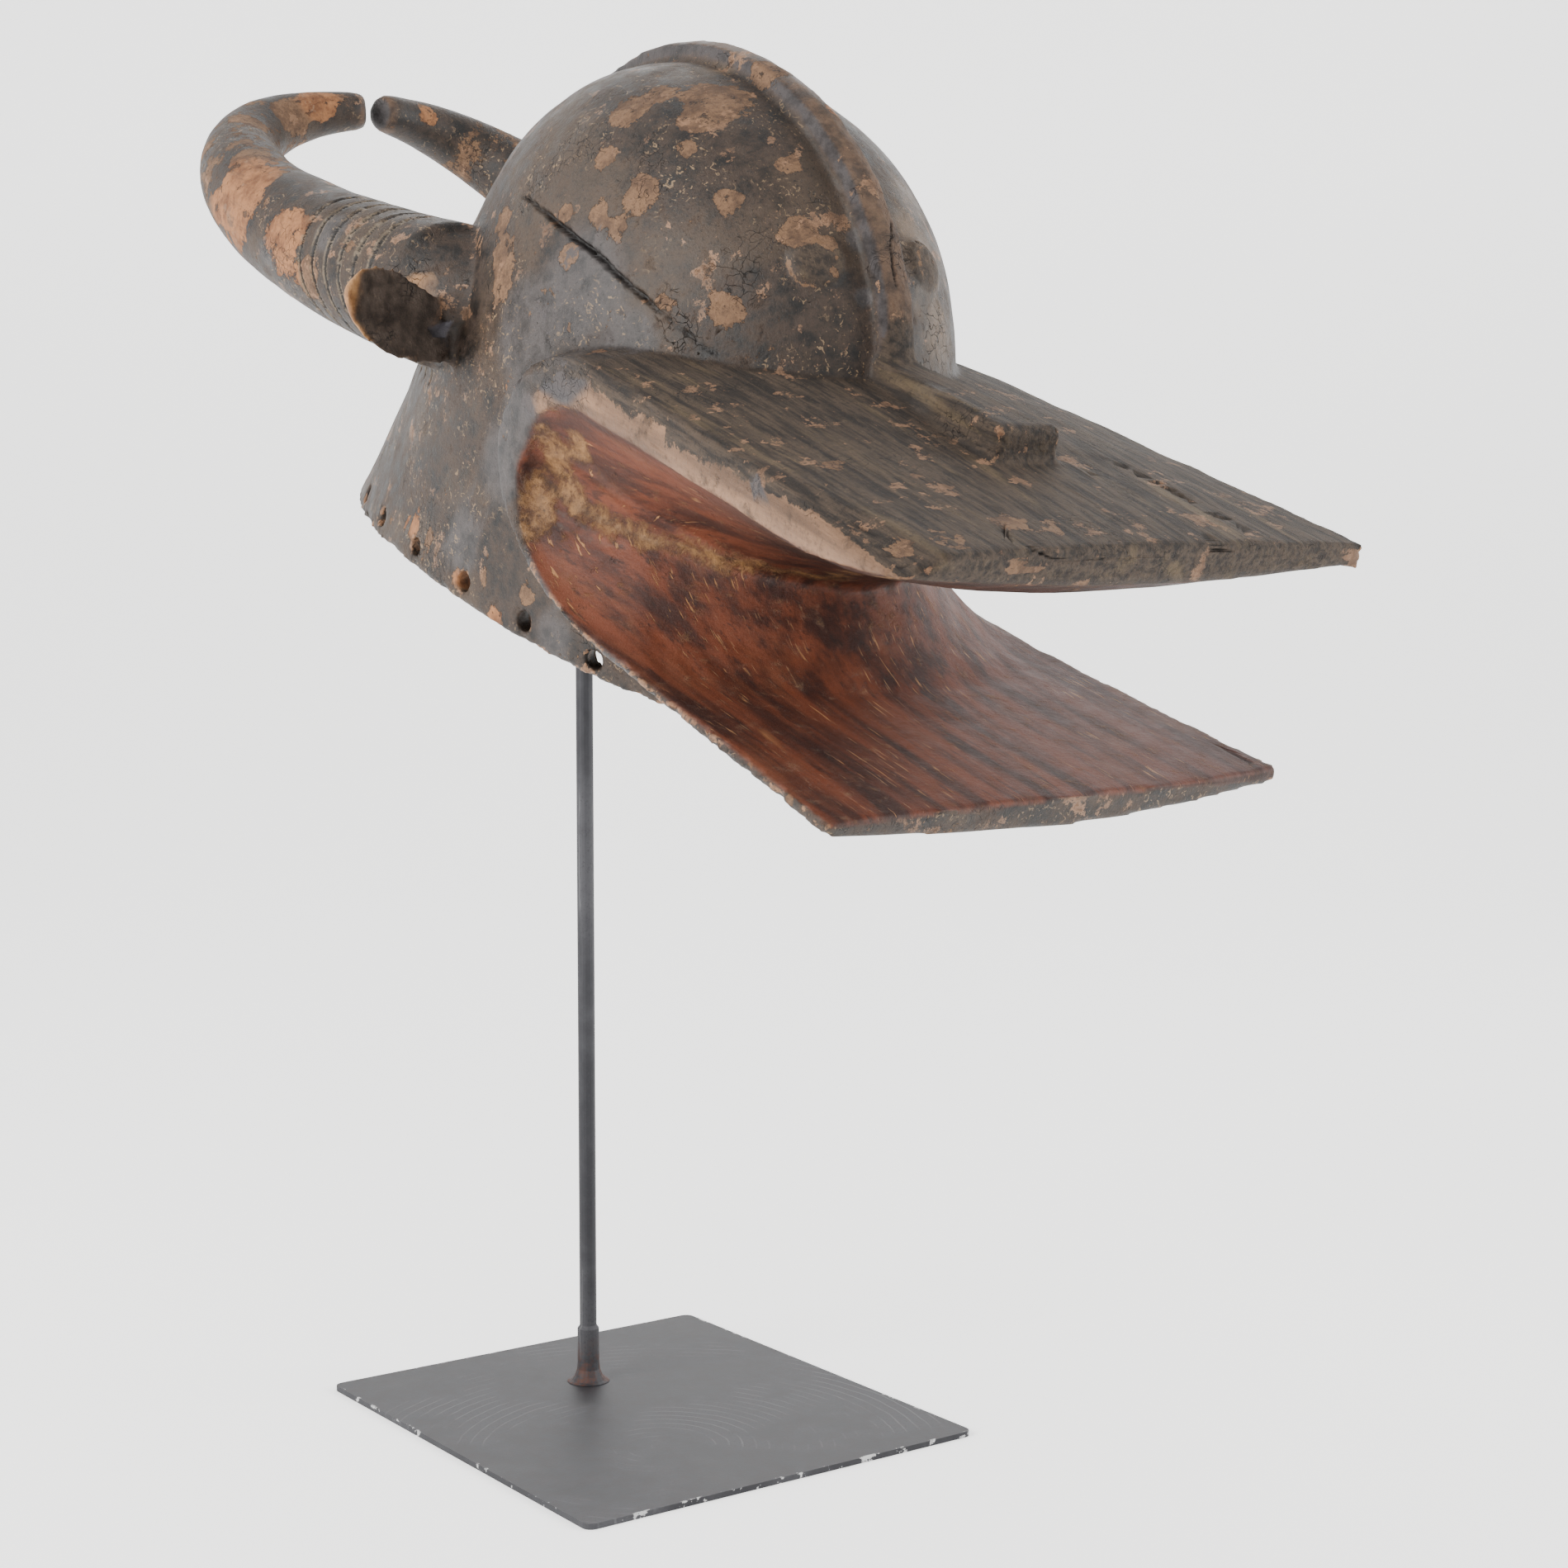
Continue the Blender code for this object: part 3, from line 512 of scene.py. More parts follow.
def with_modifier(piece, kind, **settings):
    """Applies one modifier to a piece's own mesh."""
    change = piece.modifiers.new(kind.lower(), kind)
    for name, value in settings.items():
        setattr(change, name, value)
    bpy.context.view_layer.update()
    graph = bpy.context.evaluated_depsgraph_get()
    made = bpy.data.meshes.new_from_object(piece.evaluated_get(graph))
    made.name = piece.data.name
    piece.modifiers.remove(change)
    old = piece.data
    piece.data = made
    bpy.data.meshes.remove(old)


def round_off(piece, eyes):
    """Takes the facets out: back to the true curves where they are known, smoothed elsewhere."""
    mesh = piece.data
    world, normals, edges = mesh_arrays(mesh)
    points = to_mask(world)
    normals = normals @ MASK_TURN
    x, y, z = points.T
    away_from_eyes = ramp(eye_distance(points, eyes), EYE_RADIUS, 1.3 * EYE_RADIUS)
    offset, outward = helmet_offset(points)
    points = snap(points, normals, offset, outward, 1, limit=away_from_eyes)
    offset, outward = helmet_offset(points, HELMET_WALL)
    points = snap(points, normals, offset, outward, -1)
    behind = ramp(y, 0.03, 0.06) * ramp(z, 0.06, 0.08)
    offset, outward, along = horn_offset(points)
    ear = ramp(np.abs(x), 0.112, 0.118) * ramp(y, -0.03, -0.01) * (y < 0.05) * (z > 0.09)
    on_tube = behind * (along < 0.97) * (1 - ear)
    points = snap(points, normals, offset, outward, 1, 2 * SNAP_RANGE, on_tube, lean=ANY_WAY)
    near_tube = on_tube * (np.abs(offset) < 1.2 * SNAP_RANGE)
    points = relax(points, edges, 8, 0.5 * near_tube)
    offset, outward, along = horn_offset(points)
    points = snap(points, normals, offset, outward, 1, SNAP_RANGE, near_tube, lean=ANY_WAY)
    jaw_flat = ramp(-y, 0.12, 0.15) * (z < 0.19)
    offset, outward = hole_offset(points)
    points = snap(points, normals, offset, outward, -1)
    drilled = (np.abs(offset) < 0.002).astype(float)
    points = relax(points, edges, 2, 0.35 * (1 - drilled))
    points = relax(points, edges, 5, 0.28 * jaw_flat + 0.4 * (1 - away_from_eyes))
    points = relax(points, edges, 12, 0.5 * ear)
    set_points(mesh, to_world(points))


def drop_scraps(piece):
    """Deletes the folded pairs of triangles that the decimation leaves, and closes their gaps."""
    form = bmesh.new()
    form.from_mesh(piece.data)
    scraps = [vert for vert in form.verts if len(vert.link_faces) < 3]
    bmesh.ops.delete(form, geom=scraps, context="VERTS")
    gaps = [edge for edge in form.edges if edge.is_boundary]
    bmesh.ops.holes_fill(form, edges=gaps, sides=8)
    bmesh.ops.triangulate(form, faces=[face for face in form.faces if len(face.verts) > 3])
    form.to_mesh(piece.data)
    form.free()


def refine(piece, nearness, step, reach):
    """Divides the triangles that lie near a mark until they can carry it."""
    form = bmesh.new()
    form.from_mesh(piece.data)
    for size in (2 * step, step):
        found = nearness(np.array([vert.co for vert in form.verts]))
        form.verts.ensure_lookup_table()
        near = [edge for edge in form.edges if edge.calc_length() > 1.4 * size
                and min(found[edge.verts[0].index], found[edge.verts[1].index])
                < reach + 0.6 * edge.calc_length()]
        bmesh.ops.subdivide_edges(form, edges=near, cuts=1, use_grid_fill=True)
        bmesh.ops.triangulate(form, faces=[face for face in form.faces if len(face.verts) > 3])
        form.verts.index_update()
    form.to_mesh(piece.data)
    form.free()


def crack_lines(surface):
    """Every crack as world points a little apart, wandering as a split in wood does."""
    lines = []
    for index, (half_width, depth, marks) in enumerate(CRACKS.values()):
        spots = surface.line(marks)
        fine = []
        for start, end in zip(spots, spots[1:]):
            length = np.linalg.norm(end - start)
            if length > 0.06:
                continue
            parts = max(2, int(length / 0.0012))
            for part in range(parts):
                fine.append(start + (end - start) * part / parts)
        fine.append(spots[-1])
        fine = np.array(fine)
        for axis in range(3):
            fine[:, axis] += 0.0007 * noise_at(fine, 160, index + axis * 3.3)
            fine[:, axis] += 0.0004 * noise_at(fine, 520, index + axis * 5.1)
        run = np.linspace(0, 1, len(fine))
        taper = np.minimum(1, 0.35 + 2.2 * np.minimum(run, 1 - run))
        lines.append((fine, half_width * taper, depth * taper))
    return lines


def nearest_on_lines(points, lines):
    """For each point: the distance to the nearest crack, and that crack's width and depth there."""
    distance = np.full(len(points), 1.0)
    width = np.full(len(points), 0.001)
    depth = np.zeros(len(points))
    for fine, widths, depths in lines:
        low, high = fine.min(axis=0) - 0.008, fine.max(axis=0) + 0.008
        close = np.where(np.all((points > low) & (points < high), axis=1))[0]
        if len(close) == 0:
            continue
        apart = np.linalg.norm(points[close][:, None, :] - fine[None, :, :], axis=2)
        which = apart.argmin(axis=1)
        best = apart[np.arange(len(close)), which]
        better = best < distance[close]
        chosen = close[better]
        distance[chosen] = best[better]
        width[chosen] = widths[which[better]]
        depth[chosen] = depths[which[better]]
    return distance, width, depth


def spot_field(points, surface, marks, soften=1.0):
    """How far each point lies inside a group of round spots: 1 at a centre, 0 outside."""
    field = np.zeros(len(points))
    for across, down, radius in marks:
        found = surface.at(across, down)
        if found is None:
            continue
        spot, scale = found
        reach = radius * scale * 1.35 * soften
        near = np.linalg.norm(points - np.array(spot), axis=1) / reach
        field = np.maximum(field, clamp01(1.25 * (1 - near**2)))
    return field


def shape_marks(points, normals, edges):
    """Where the surface is convex and where it is hollow, from its own bending."""
    lean = ((points - neighbour_mean(points, edges)) * normals).sum(axis=1)
    length = np.linalg.norm(points[edges[:, 0]] - points[edges[:, 1]], axis=1)
    size = np.bincount(edges.ravel(), weights=np.repeat(length, 2)) / np.bincount(edges.ravel())
    bend = (lean / np.maximum(size, 1e-5) ** 2)[:, None]
    for _ in range(3):
        bend = 0.4 * bend + 0.6 * neighbour_mean(bend, edges)
    bend = bend[:, 0]
    return ramp(bend, 16, 90), ramp(-bend, 12, 70)


def regions(points, normals):
    """The parts of the carving that are finished differently, from places in the mask's frame."""
    x, y, z = points.T
    outer, _ = helmet_offset(points)
    inner, _ = helmet_offset(points, HELMET_WALL)
    inside = ramp(-outer, 0.006, 0.010) * (inner < 0.003) * (z < 0.275)
    edge_gap = jaw_half_width(y) - np.abs(x)
    between = ramp(-y, 0.070, 0.078) * ramp(y - JAW_FRONT, 0.003, 0.006)
    between = between * ramp(edge_gap, 0.0004, 0.0024) * (inside < 0.5)
    above = z - floor_level(y)
    floor = between * (z < 0.100) * (above > -0.003) * ramp(normals[:, 2], 0.2, 0.5)
    belly = between * (above > 0.001) * (z < board_level(y) - 0.003)
    belly = belly * ramp(-normals[:, 2], -0.5, -0.2)
    mouth = np.maximum(floor, belly)
    board = ramp(-y, 0.085, 0.12) * ramp(z, 0.140, 0.152) * (1 - mouth)
    board = board * ramp(outer, 0.000, 0.004)
    near_edge = ramp(0.010 - edge_gap, 0.0, 0.006) * (1 - mouth)
    near_edge = near_edge * ramp(z, 0.112, 0.132)
    near_edge = near_edge * ramp(-y, 0.07, 0.10) * ramp(0.80 - normals[:, 2], 0.0, 0.15)
    kept_skin = 0.003 + 0.010 * ramp(y, JAW_FRONT, -0.20)
    near_edge = near_edge * ramp(board_level(y) - z - kept_skin, -0.003, 0.003)
    away, _, along = horn_offset(points)
    horn = (np.abs(away) < 0.006) * (y > 0.06) * ramp(along, 0.22, 0.42)
    horn = horn * ramp(1.02 - along, 0, 0.3)
    rim, share, depth = ear_rim(points)
    ear = (np.abs(x) > 0.114) * (share > -0.1) * (depth < 0.016) * (rim > -0.009)
    thick = 0.0012 + 0.0042 * ramp(share, 0.25, 0.8)
    worn_rim = ear * ramp(thick - rim + 0.0012 * noise_at(points, 90, 12), -0.0012, 0.0018)
    worn_rim = worn_rim * ramp(share, 0.12, 0.3)
    crest = (np.abs(x) < CREST_HALF_WIDTH + 0.003) * ramp(outer, 0.0015, 0.004) * (z > 0.165)
    crest = crest * (y > -0.20)
    crest_side = crest * ramp(np.abs(normals[:, 0]), 0.5, 0.8)
    return {"inside": inside, "mouth": mouth, "belly": belly, "board": board,
            "near_edge": near_edge, "horn": horn, "ear": ear.astype(float),
            "ear_rim": worn_rim, "crest": crest, "crest_side": crest_side}


def line_field(points, surface, pixels, reach):
    """1 along a line of the photograph, falling to 0 at this reach from it."""
    spots = surface.line(pixels)
    nearest = np.full(len(points), 1.0)
    for start, end in zip(spots, spots[1:]):
        along = end - start
        share = clamp01((points - start) @ along / (along @ along))
        nearest = np.minimum(nearest, np.linalg.norm(points - start - share[:, None] * along, axis=1))
    return clamp01(1 - nearest / reach)


def notch_field(points, surface):
    """How far inside the ear's three-cornered facet each point lies, 0 outside it."""
    corners = surface.line(EAR_NOTCH)
    square = np.cross(corners[1] - corners[0], corners[2] - corners[0])
    square /= np.linalg.norm(square)
    gap = np.full(len(points), 1.0)
    for index, corner in enumerate(corners):
        along = corners[(index + 1) % 3] - corner
        inward = np.cross(square, along / np.linalg.norm(along))
        gap = np.minimum(gap, (points - corner) @ inward)
    flat = np.abs((points - corners[0]) @ square) < 0.012
    return clamp01(gap / 0.004) * flat


def carve(piece, surface, lines, eyes):
    """Cracks, chips, worn edges and tool marks, and the marks that the material reads."""
    mesh = piece.data
    world, normals, edges = mesh_arrays(mesh)
    points = to_mask(world)
    marks = regions(points, normals @ MASK_TURN)
    ridge, hollow = shape_marks(world, normals, edges)
    distance, width, depth = nearest_on_lines(world, lines)
    plain = (1 - 0.6 * marks["mouth"]) * (1 - 0.6 * marks["ear"])
    swell = SWELL_DEPTH * noise_at(points, 28, 1) + FINE_SWELL_DEPTH * noise_at(points, 75, 2)
    facets = ADZE_DEPTH * np.abs(noise_at(points, 60, 3)) * marks["inside"]
    chip = ramp(noise_at(points, 90, 4), 0.15, 0.5)
    chip = chip + 0.7 * ramp(noise_at(points, 230, 6), 0.1, 0.5)
    solid_edge = ramp(np.abs(hole_offset(points)[0]), 0.001, 0.003) * (1 - 0.96 * marks["ear"])
    chip = CHIP_DEPTH * chip * ridge * (1 - marks["inside"]) * solid_edge
    chip = chip * (1 - 0.7 * marks["crest"])
    grain_at = points * np.array([1.0, 0.08, 1.0])
    furrow = noise_at(grain_at, 330, 5)
    wave = noise_at(points * np.array([1.0, 0.25, 1.0]), 46, 7)
    grain = (MOUTH_FURROW_DEPTH * furrow + MOUTH_WAVE_DEPTH * wave) * marks["mouth"]
    grain = BOARD_FURROW_DEPTH * furrow * marks["board"] + grain
    split = depth * clamp01(1 - distance / width) ** 0.7
    rings = ring_distance(points)
    ringed = clamp01(1 - rings / HORN_RING_HALF_WIDTH)
    shift = (swell - facets - chip) * plain + grain - split - HORN_RING_DEPTH * ringed
    boss = clamp01(1 - (eye_distance(points, eyes) / EYE_RADIUS) ** 2)
    outer, _ = helmet_offset(points)
    stands = np.maximum(0.0, EYE_RELIEF * np.sqrt(boss) - np.maximum(outer, 0.0)) * (outer < 0.004)
    shift = shift + stands * (outer > -0.002)
    notch = notch_field(world, surface)
    set_points(mesh, world + normals * (shift - NOTCH_DEPTH * notch)[:, None])
    marks["edge"] = ridge
    marks["hollow"] = hollow
    marks["notch"] = ramp(notch, 0.0, 0.3)
    marks["ring"] = clamp01(1 - rings / (2.2 * HORN_RING_HALF_WIDTH))
    marks["eye_ring"] = clamp01(1 - np.abs(eye_distance(points, eyes) - EYE_RADIUS) / 0.0035)
    marks["crack"] = ramp(1 - distance / (1.5 * width), 0.05, 0.75) * (depth > 0)
    marks["golden"] = line_field(world, surface, GOLDEN_LINE, GOLDEN_REACH)
    marks["scratch"] = np.max([line_field(world, surface, ends, 0.0012) for ends in SCRATCHES], axis=0)
    for name, spots in SPOTS.items():
        marks[name] = spot_field(world, surface, spots)
    for name, values in marks.items():
        made = mesh.attributes.new(name, "FLOAT", "POINT")
        made.data.foreach_set("value", values.astype(np.float32))
    made = mesh.attributes.new("carved_at", "FLOAT_VECTOR", "POINT")
    made.data.foreach_set("vector", points.astype(np.float32).ravel())


def fine_mask(node):
    """The carved mask that is shown in place of the CAD node."""
    surface = Surface(node)
    piece = bpy.data.objects.new("carved_mask", node.data.copy())
    bpy.context.scene.collection.objects.link(piece)
    piece.data.materials.clear()
    with_modifier(piece, "REMESH", mode="VOXEL", voxel_size=VOXEL)
    eyes = eye_places(surface)
    round_off(piece, eyes)
    faces = 2 * len(piece.data.polygons)
    with_modifier(piece, "DECIMATE", ratio=min(1.0, COARSE_TRIANGLES / faces))
    drop_scraps(piece)
    lines = crack_lines(surface)
    refine(piece, lambda at: nearest_on_lines(at, lines)[0], CRACK_STEP, 0.0026)
    refine(piece, lambda at: ring_distance(to_mask(at)), RING_STEP, HORN_RING_HALF_WIDTH)
    refine(piece, lambda at: np.abs(hole_offset(to_mask(at))[0]), RING_STEP, 0.0010)
    refine(piece, lambda at: 1 - notch_field(at, surface), RING_STEP, 0.9)
    piece.data.validate()
    carve(piece, surface, lines, eyes)
    piece.data.shade_smooth()
    return piece


# Materials


class Layers:
    """Short calls for a node tree, so that a material reads as a list of layers."""

    def __init__(self, name):
        self.material = bpy.data.materials.new(name)
        self.material.use_nodes = True
        self.nodes = self.material.node_tree.nodes
        self.links = self.material.node_tree.links
        self.shader = self.nodes["Principled BSDF"]

    def put(self, socket, value):
        """Feeds a socket with a link, a number or a colour read off a screen."""
        if isinstance(value, bpy.types.NodeSocket):
            self.links.new(value, socket)
        else:
            socket.default_value = srgb(*value) if isinstance(value, tuple) else value

    def node(self, kind, inputs):
        made = self.nodes.new("ShaderNode" + kind)
        for name, value in inputs.items():
            self.put(made.inputs[name], value)
        return made

    def mark(self, name, output="Fac"):
        """A value that carve has stored in the mesh."""
        node = self.node("Attribute", {})
        node.attribute_name = name
        return node.outputs[output]

    def place(self, name=None, stretch=(1, 1, 1)):
        """Coordinates in metres, from a stored mark or from the object, stretched per axis."""
        if name is None:
            source = self.nodes.new("ShaderNodeTexCoord").outputs["Object"]
        else:
            source = self.mark(name, "Vector")
        scaled = self.nodes.new("ShaderNodeVectorMath")
        scaled.operation = "MULTIPLY"
        self.put(scaled.inputs[0], source)
        scaled.inputs[1].default_value = stretch
        return scaled.outputs[0]

    def axis(self, place, index):
        node = self.nodes.new("ShaderNodeSeparateXYZ")
        self.put(node.inputs[0], place)
        return node.outputs[index]

    def edge_band(self, place, index, size):
        """1 within a millimetre or two of a plate's edge along one axis."""
        node = self.nodes.new("ShaderNodeMath")
        node.operation = "ABSOLUTE"
        self.put(node.inputs[0], self.axis(place, index))
        return self.band(node.outputs[0], size / 2 - 0.0016, size / 2 - 0.0008)

    def noise(self, place, scale, detail=4.0, roughness=0.6, distortion=0.0):
        return self.node("TexNoise", {"Vector": place, "Scale": scale, "Detail": detail,
                                      "Roughness": roughness, "Distortion": distortion}).outputs["Fac"]

    def cells(self, place, scale):
        node = self.node("TexVoronoi", {})
        node.feature = "DISTANCE_TO_EDGE"
        self.put(node.inputs["Vector"], place)
        self.put(node.inputs["Scale"], scale)
        return node.outputs["Distance"]

    def sum(self, first, second, kind="ADD"):
        node = self.nodes.new("ShaderNodeMath")
        node.operation = kind
        self.put(node.inputs[0], first)
        self.put(node.inputs[1], second)
        return node.outputs[0]

    def times(self, first, second):
        return self.sum(first, second, "MULTIPLY")

    def swing(self, value, gain):
        """How far a noise is from its middle, times a gain."""
        return self.times(self.sum(value, 0.5, "SUBTRACT"), gain)

    def most(self, first, second):
        return self.sum(first, second, "MAXIMUM")

    def without(self, value):
        return self.sum(1.0, value, "SUBTRACT")

    def band(self, value, low, high, start=0.0, end=1.0):
        """The value stretched from low..high to start..end, with soft ends."""
        node = self.node("MapRange", {"Value": value, "From Min": low, "From Max": high,
                                      "To Min": start, "To Max": end})
        node.interpolation_type = "SMOOTHSTEP"
        return node.outputs["Result"]

    def tones(self, dark, light, value, low, high):
        """From one screen colour to another as the value goes from low to high."""
        return self.over(dark, light, self.band(value, low, high))

    def coats(self, under, *layers):
        """Layers laid over each other, each one as over takes it."""
        for layer in layers:
            under = self.over(under, *layer)
        return under

    def over(self, under, layer, share, limit=None):
        """A colour, or a number, laid over another by this share, times a limit."""
        node = self.nodes.new("ShaderNodeMix")
        plain = isinstance(layer, (int, float)) or getattr(layer, "type", "") == "VALUE"
        node.data_type = "FLOAT" if plain else "RGBA"
        first = 2 if plain else 6
        self.put(node.inputs[0], share if limit is None else self.times(share, limit))
        self.put(node.inputs[first], under)
        self.put(node.inputs[first + 1], layer)
        return node.outputs[0 if plain else 2]

    def bump(self, height, distance, strength=1.0):
        return self.node("Bump", {"Distance": distance, "Strength": strength,
                                  "Height": height}).outputs["Normal"]

    def finish(self, colour, roughness, normal=None, metallic=0.0, specular=0.5):
        self.put(self.shader.inputs["Base Color"], colour)
        self.put(self.shader.inputs["Roughness"], roughness)
        self.put(self.shader.inputs["Metallic"], metallic)
        self.put(self.shader.inputs["Specular IOR Level"], specular)
        if normal is not None:
            self.put(self.shader.inputs["Normal"], normal)
        return self.material


def patina_layer(wood, at, fine, middle, broad):
    """The dark skin: mottled brown-black, dusty in places, blue-grey where it is smoothest, and paler on
    the dome's far half, partly as a painted highlight.
    """
    grey = wood.band(wood.sum(wood.mark("grey"), wood.swing(broad, 1.6)), 0.15, 1.0)
    cloud = wood.swing(wood.noise(at, 34, 8, 0.65), 3.4)
    pale = wood.band(wood.sum(wood.mark("pale"), cloud), 0.35, 1.5)
    curl = wood.place("carved_at", (1.0, 0.6, 0.8))
    fleck = wood.band(wood.noise(curl, 420, 3, 0.55, 1.2), 0.615, 0.65)
    fleck = wood.times(fleck, wood.band(wood.noise(at, 21, 3, 0.5), 0.42, 0.58))
    pit = wood.band(wood.noise(at, 640, 2, 0.5), 0.685, 0.71)
    skin = wood.coats(
        wood.tones((14, 11, 9), (59, 46, 37), middle, 0.35, 0.62),
        ((76, 61, 47), wood.band(broad, 0.48, 0.64), 0.5),
        ((17, 14, 13), wood.band(fine, 0.52, 0.66), 0.6),
        (wood.tones((44, 42, 42), (80, 76, 76), middle, 0.3, 0.7), grey, 0.8),
        # Pale patches: partly the wood's own lighter tone, partly a painted highlight on the dome's far
        # half.
        ((112, 93, 74), wood.times(pale, wood.mark("pale")), 0.6),
        ((150, 124, 94), fleck, 0.6),
        ((16, 13, 12), pit, 0.8))
    return skin, grey


def board_layer(wood, streak, long_streak, fine):
    """The board's top: open lengthwise grain, brown-grey with pale and dark streaks."""
    return wood.coats(
        wood.tones((28, 22, 18), (72, 59, 47), streak, 0.38, 0.60),
        ((112, 94, 68), wood.band(long_streak, 0.55, 0.70), 0.5),
        ((18, 15, 13), wood.band(streak, 0.61, 0.67), 0.75),
        ((32, 27, 24), wood.band(fine, 0.52, 0.64), 0.45))


def bare_layer(wood, fine, streak, middle):
    """Where the skin has come off: tan wood, more orange in places."""
    orange = wood.tones((112, 70, 42), (170, 116, 74), middle, 0.34, 0.64)
    return wood.coats(
        wood.tones((82, 60, 44), (122, 92, 67), middle, 0.36, 0.62),
        ((64, 46, 34), wood.band(fine, 0.5, 0.64), 0.6),
        (orange, wood.band(wood.mark("orange"), 0.0, 0.6), 0.85),
        ((78, 58, 44), wood.band(streak, 0.54, 0.68), 0.5))


def mouth_layer(wood, at, fine, middle, streak, long_streak):
    """The polished inside of the mouth: red-brown, ochre and rough along the bulge's foot, with a
    painted sheen on the far side and painted shade under the bulge's front.
    """
    # Painted sheen: the far side of the mouth gets a greyer, pinker tone where light glances off it.
    far = wood.band(wood.axis(at, 0), -0.03, 0.12)
    rubbed = wood.noise(wood.place("carved_at", (1.0, 0.35, 1.0)), 40, 8, 0.7)
    lines = wood.noise(wood.place("carved_at", (1.0, 0.06, 0.16)), 760, 4, 0.55, 0.3)
    nicks = wood.times(wood.band(lines, 0.625, 0.66), wood.band(wood.noise(at, 26, 3, 0.5), 0.44, 0.58))
    shade = wood.times(wood.band(wood.axis(at, 1), -0.19, -0.29), wood.mark("belly"))
    scratch = wood.most(nicks, wood.band(wood.mark("scratch"), 0.3, 0.8))
    golden = wood.over(wood.tones((74, 49, 30), (142, 104, 64), middle, 0.34, 0.66),
                       (50, 33, 21), wood.band(fine, 0.52, 0.64), 0.45)
    ochre = wood.sum(wood.most(wood.mark("ochre"), wood.mark("golden")), wood.swing(middle, 2.4))
    ochre = wood.band(ochre, 0.1, 1.0)
    red = wood.coats(
        wood.tones((48, 21, 13), (103, 52, 31), long_streak, 0.36, 0.64),
        ((24, 13, 11), wood.band(streak, 0.54, 0.66), 0.6),
        # painted sheen on the mouth's far side
        (wood.tones((56, 29, 24), (90, 54, 45), long_streak, 0.36, 0.62), far, 0.75),
        ((112, 68, 44), wood.band(rubbed, 0.52, 0.68), 0.35),
        ((30, 18, 12), shade, 0.75),
        ((176, 128, 82), scratch, 0.6),
        (golden, ochre, 0.9))
    return red, ochre, scratch


def crazing(wood, at):
    """Fine shrinkage cracks in the skin, in patches."""
    shake = wood.node("TexNoise", {"Scale": 110, "Vector": at})
    wander = wood.nodes.new("ShaderNodeMix")
    wander.data_type = "RGBA"
    wander.blend_type = "ADD"
    wander.inputs[0].default_value = 0.016
    wood.put(wander.inputs[6], at)
    wood.put(wander.inputs[7], shake.outputs["Color"])
    cracks = wood.band(wood.cells(wander.outputs[2], 150), 0.0, 0.035, 1.0, 0.0)
    return wood.times(cracks, wood.band(wood.noise(at, 23, 4, 0.55), 0.54, 0.64))


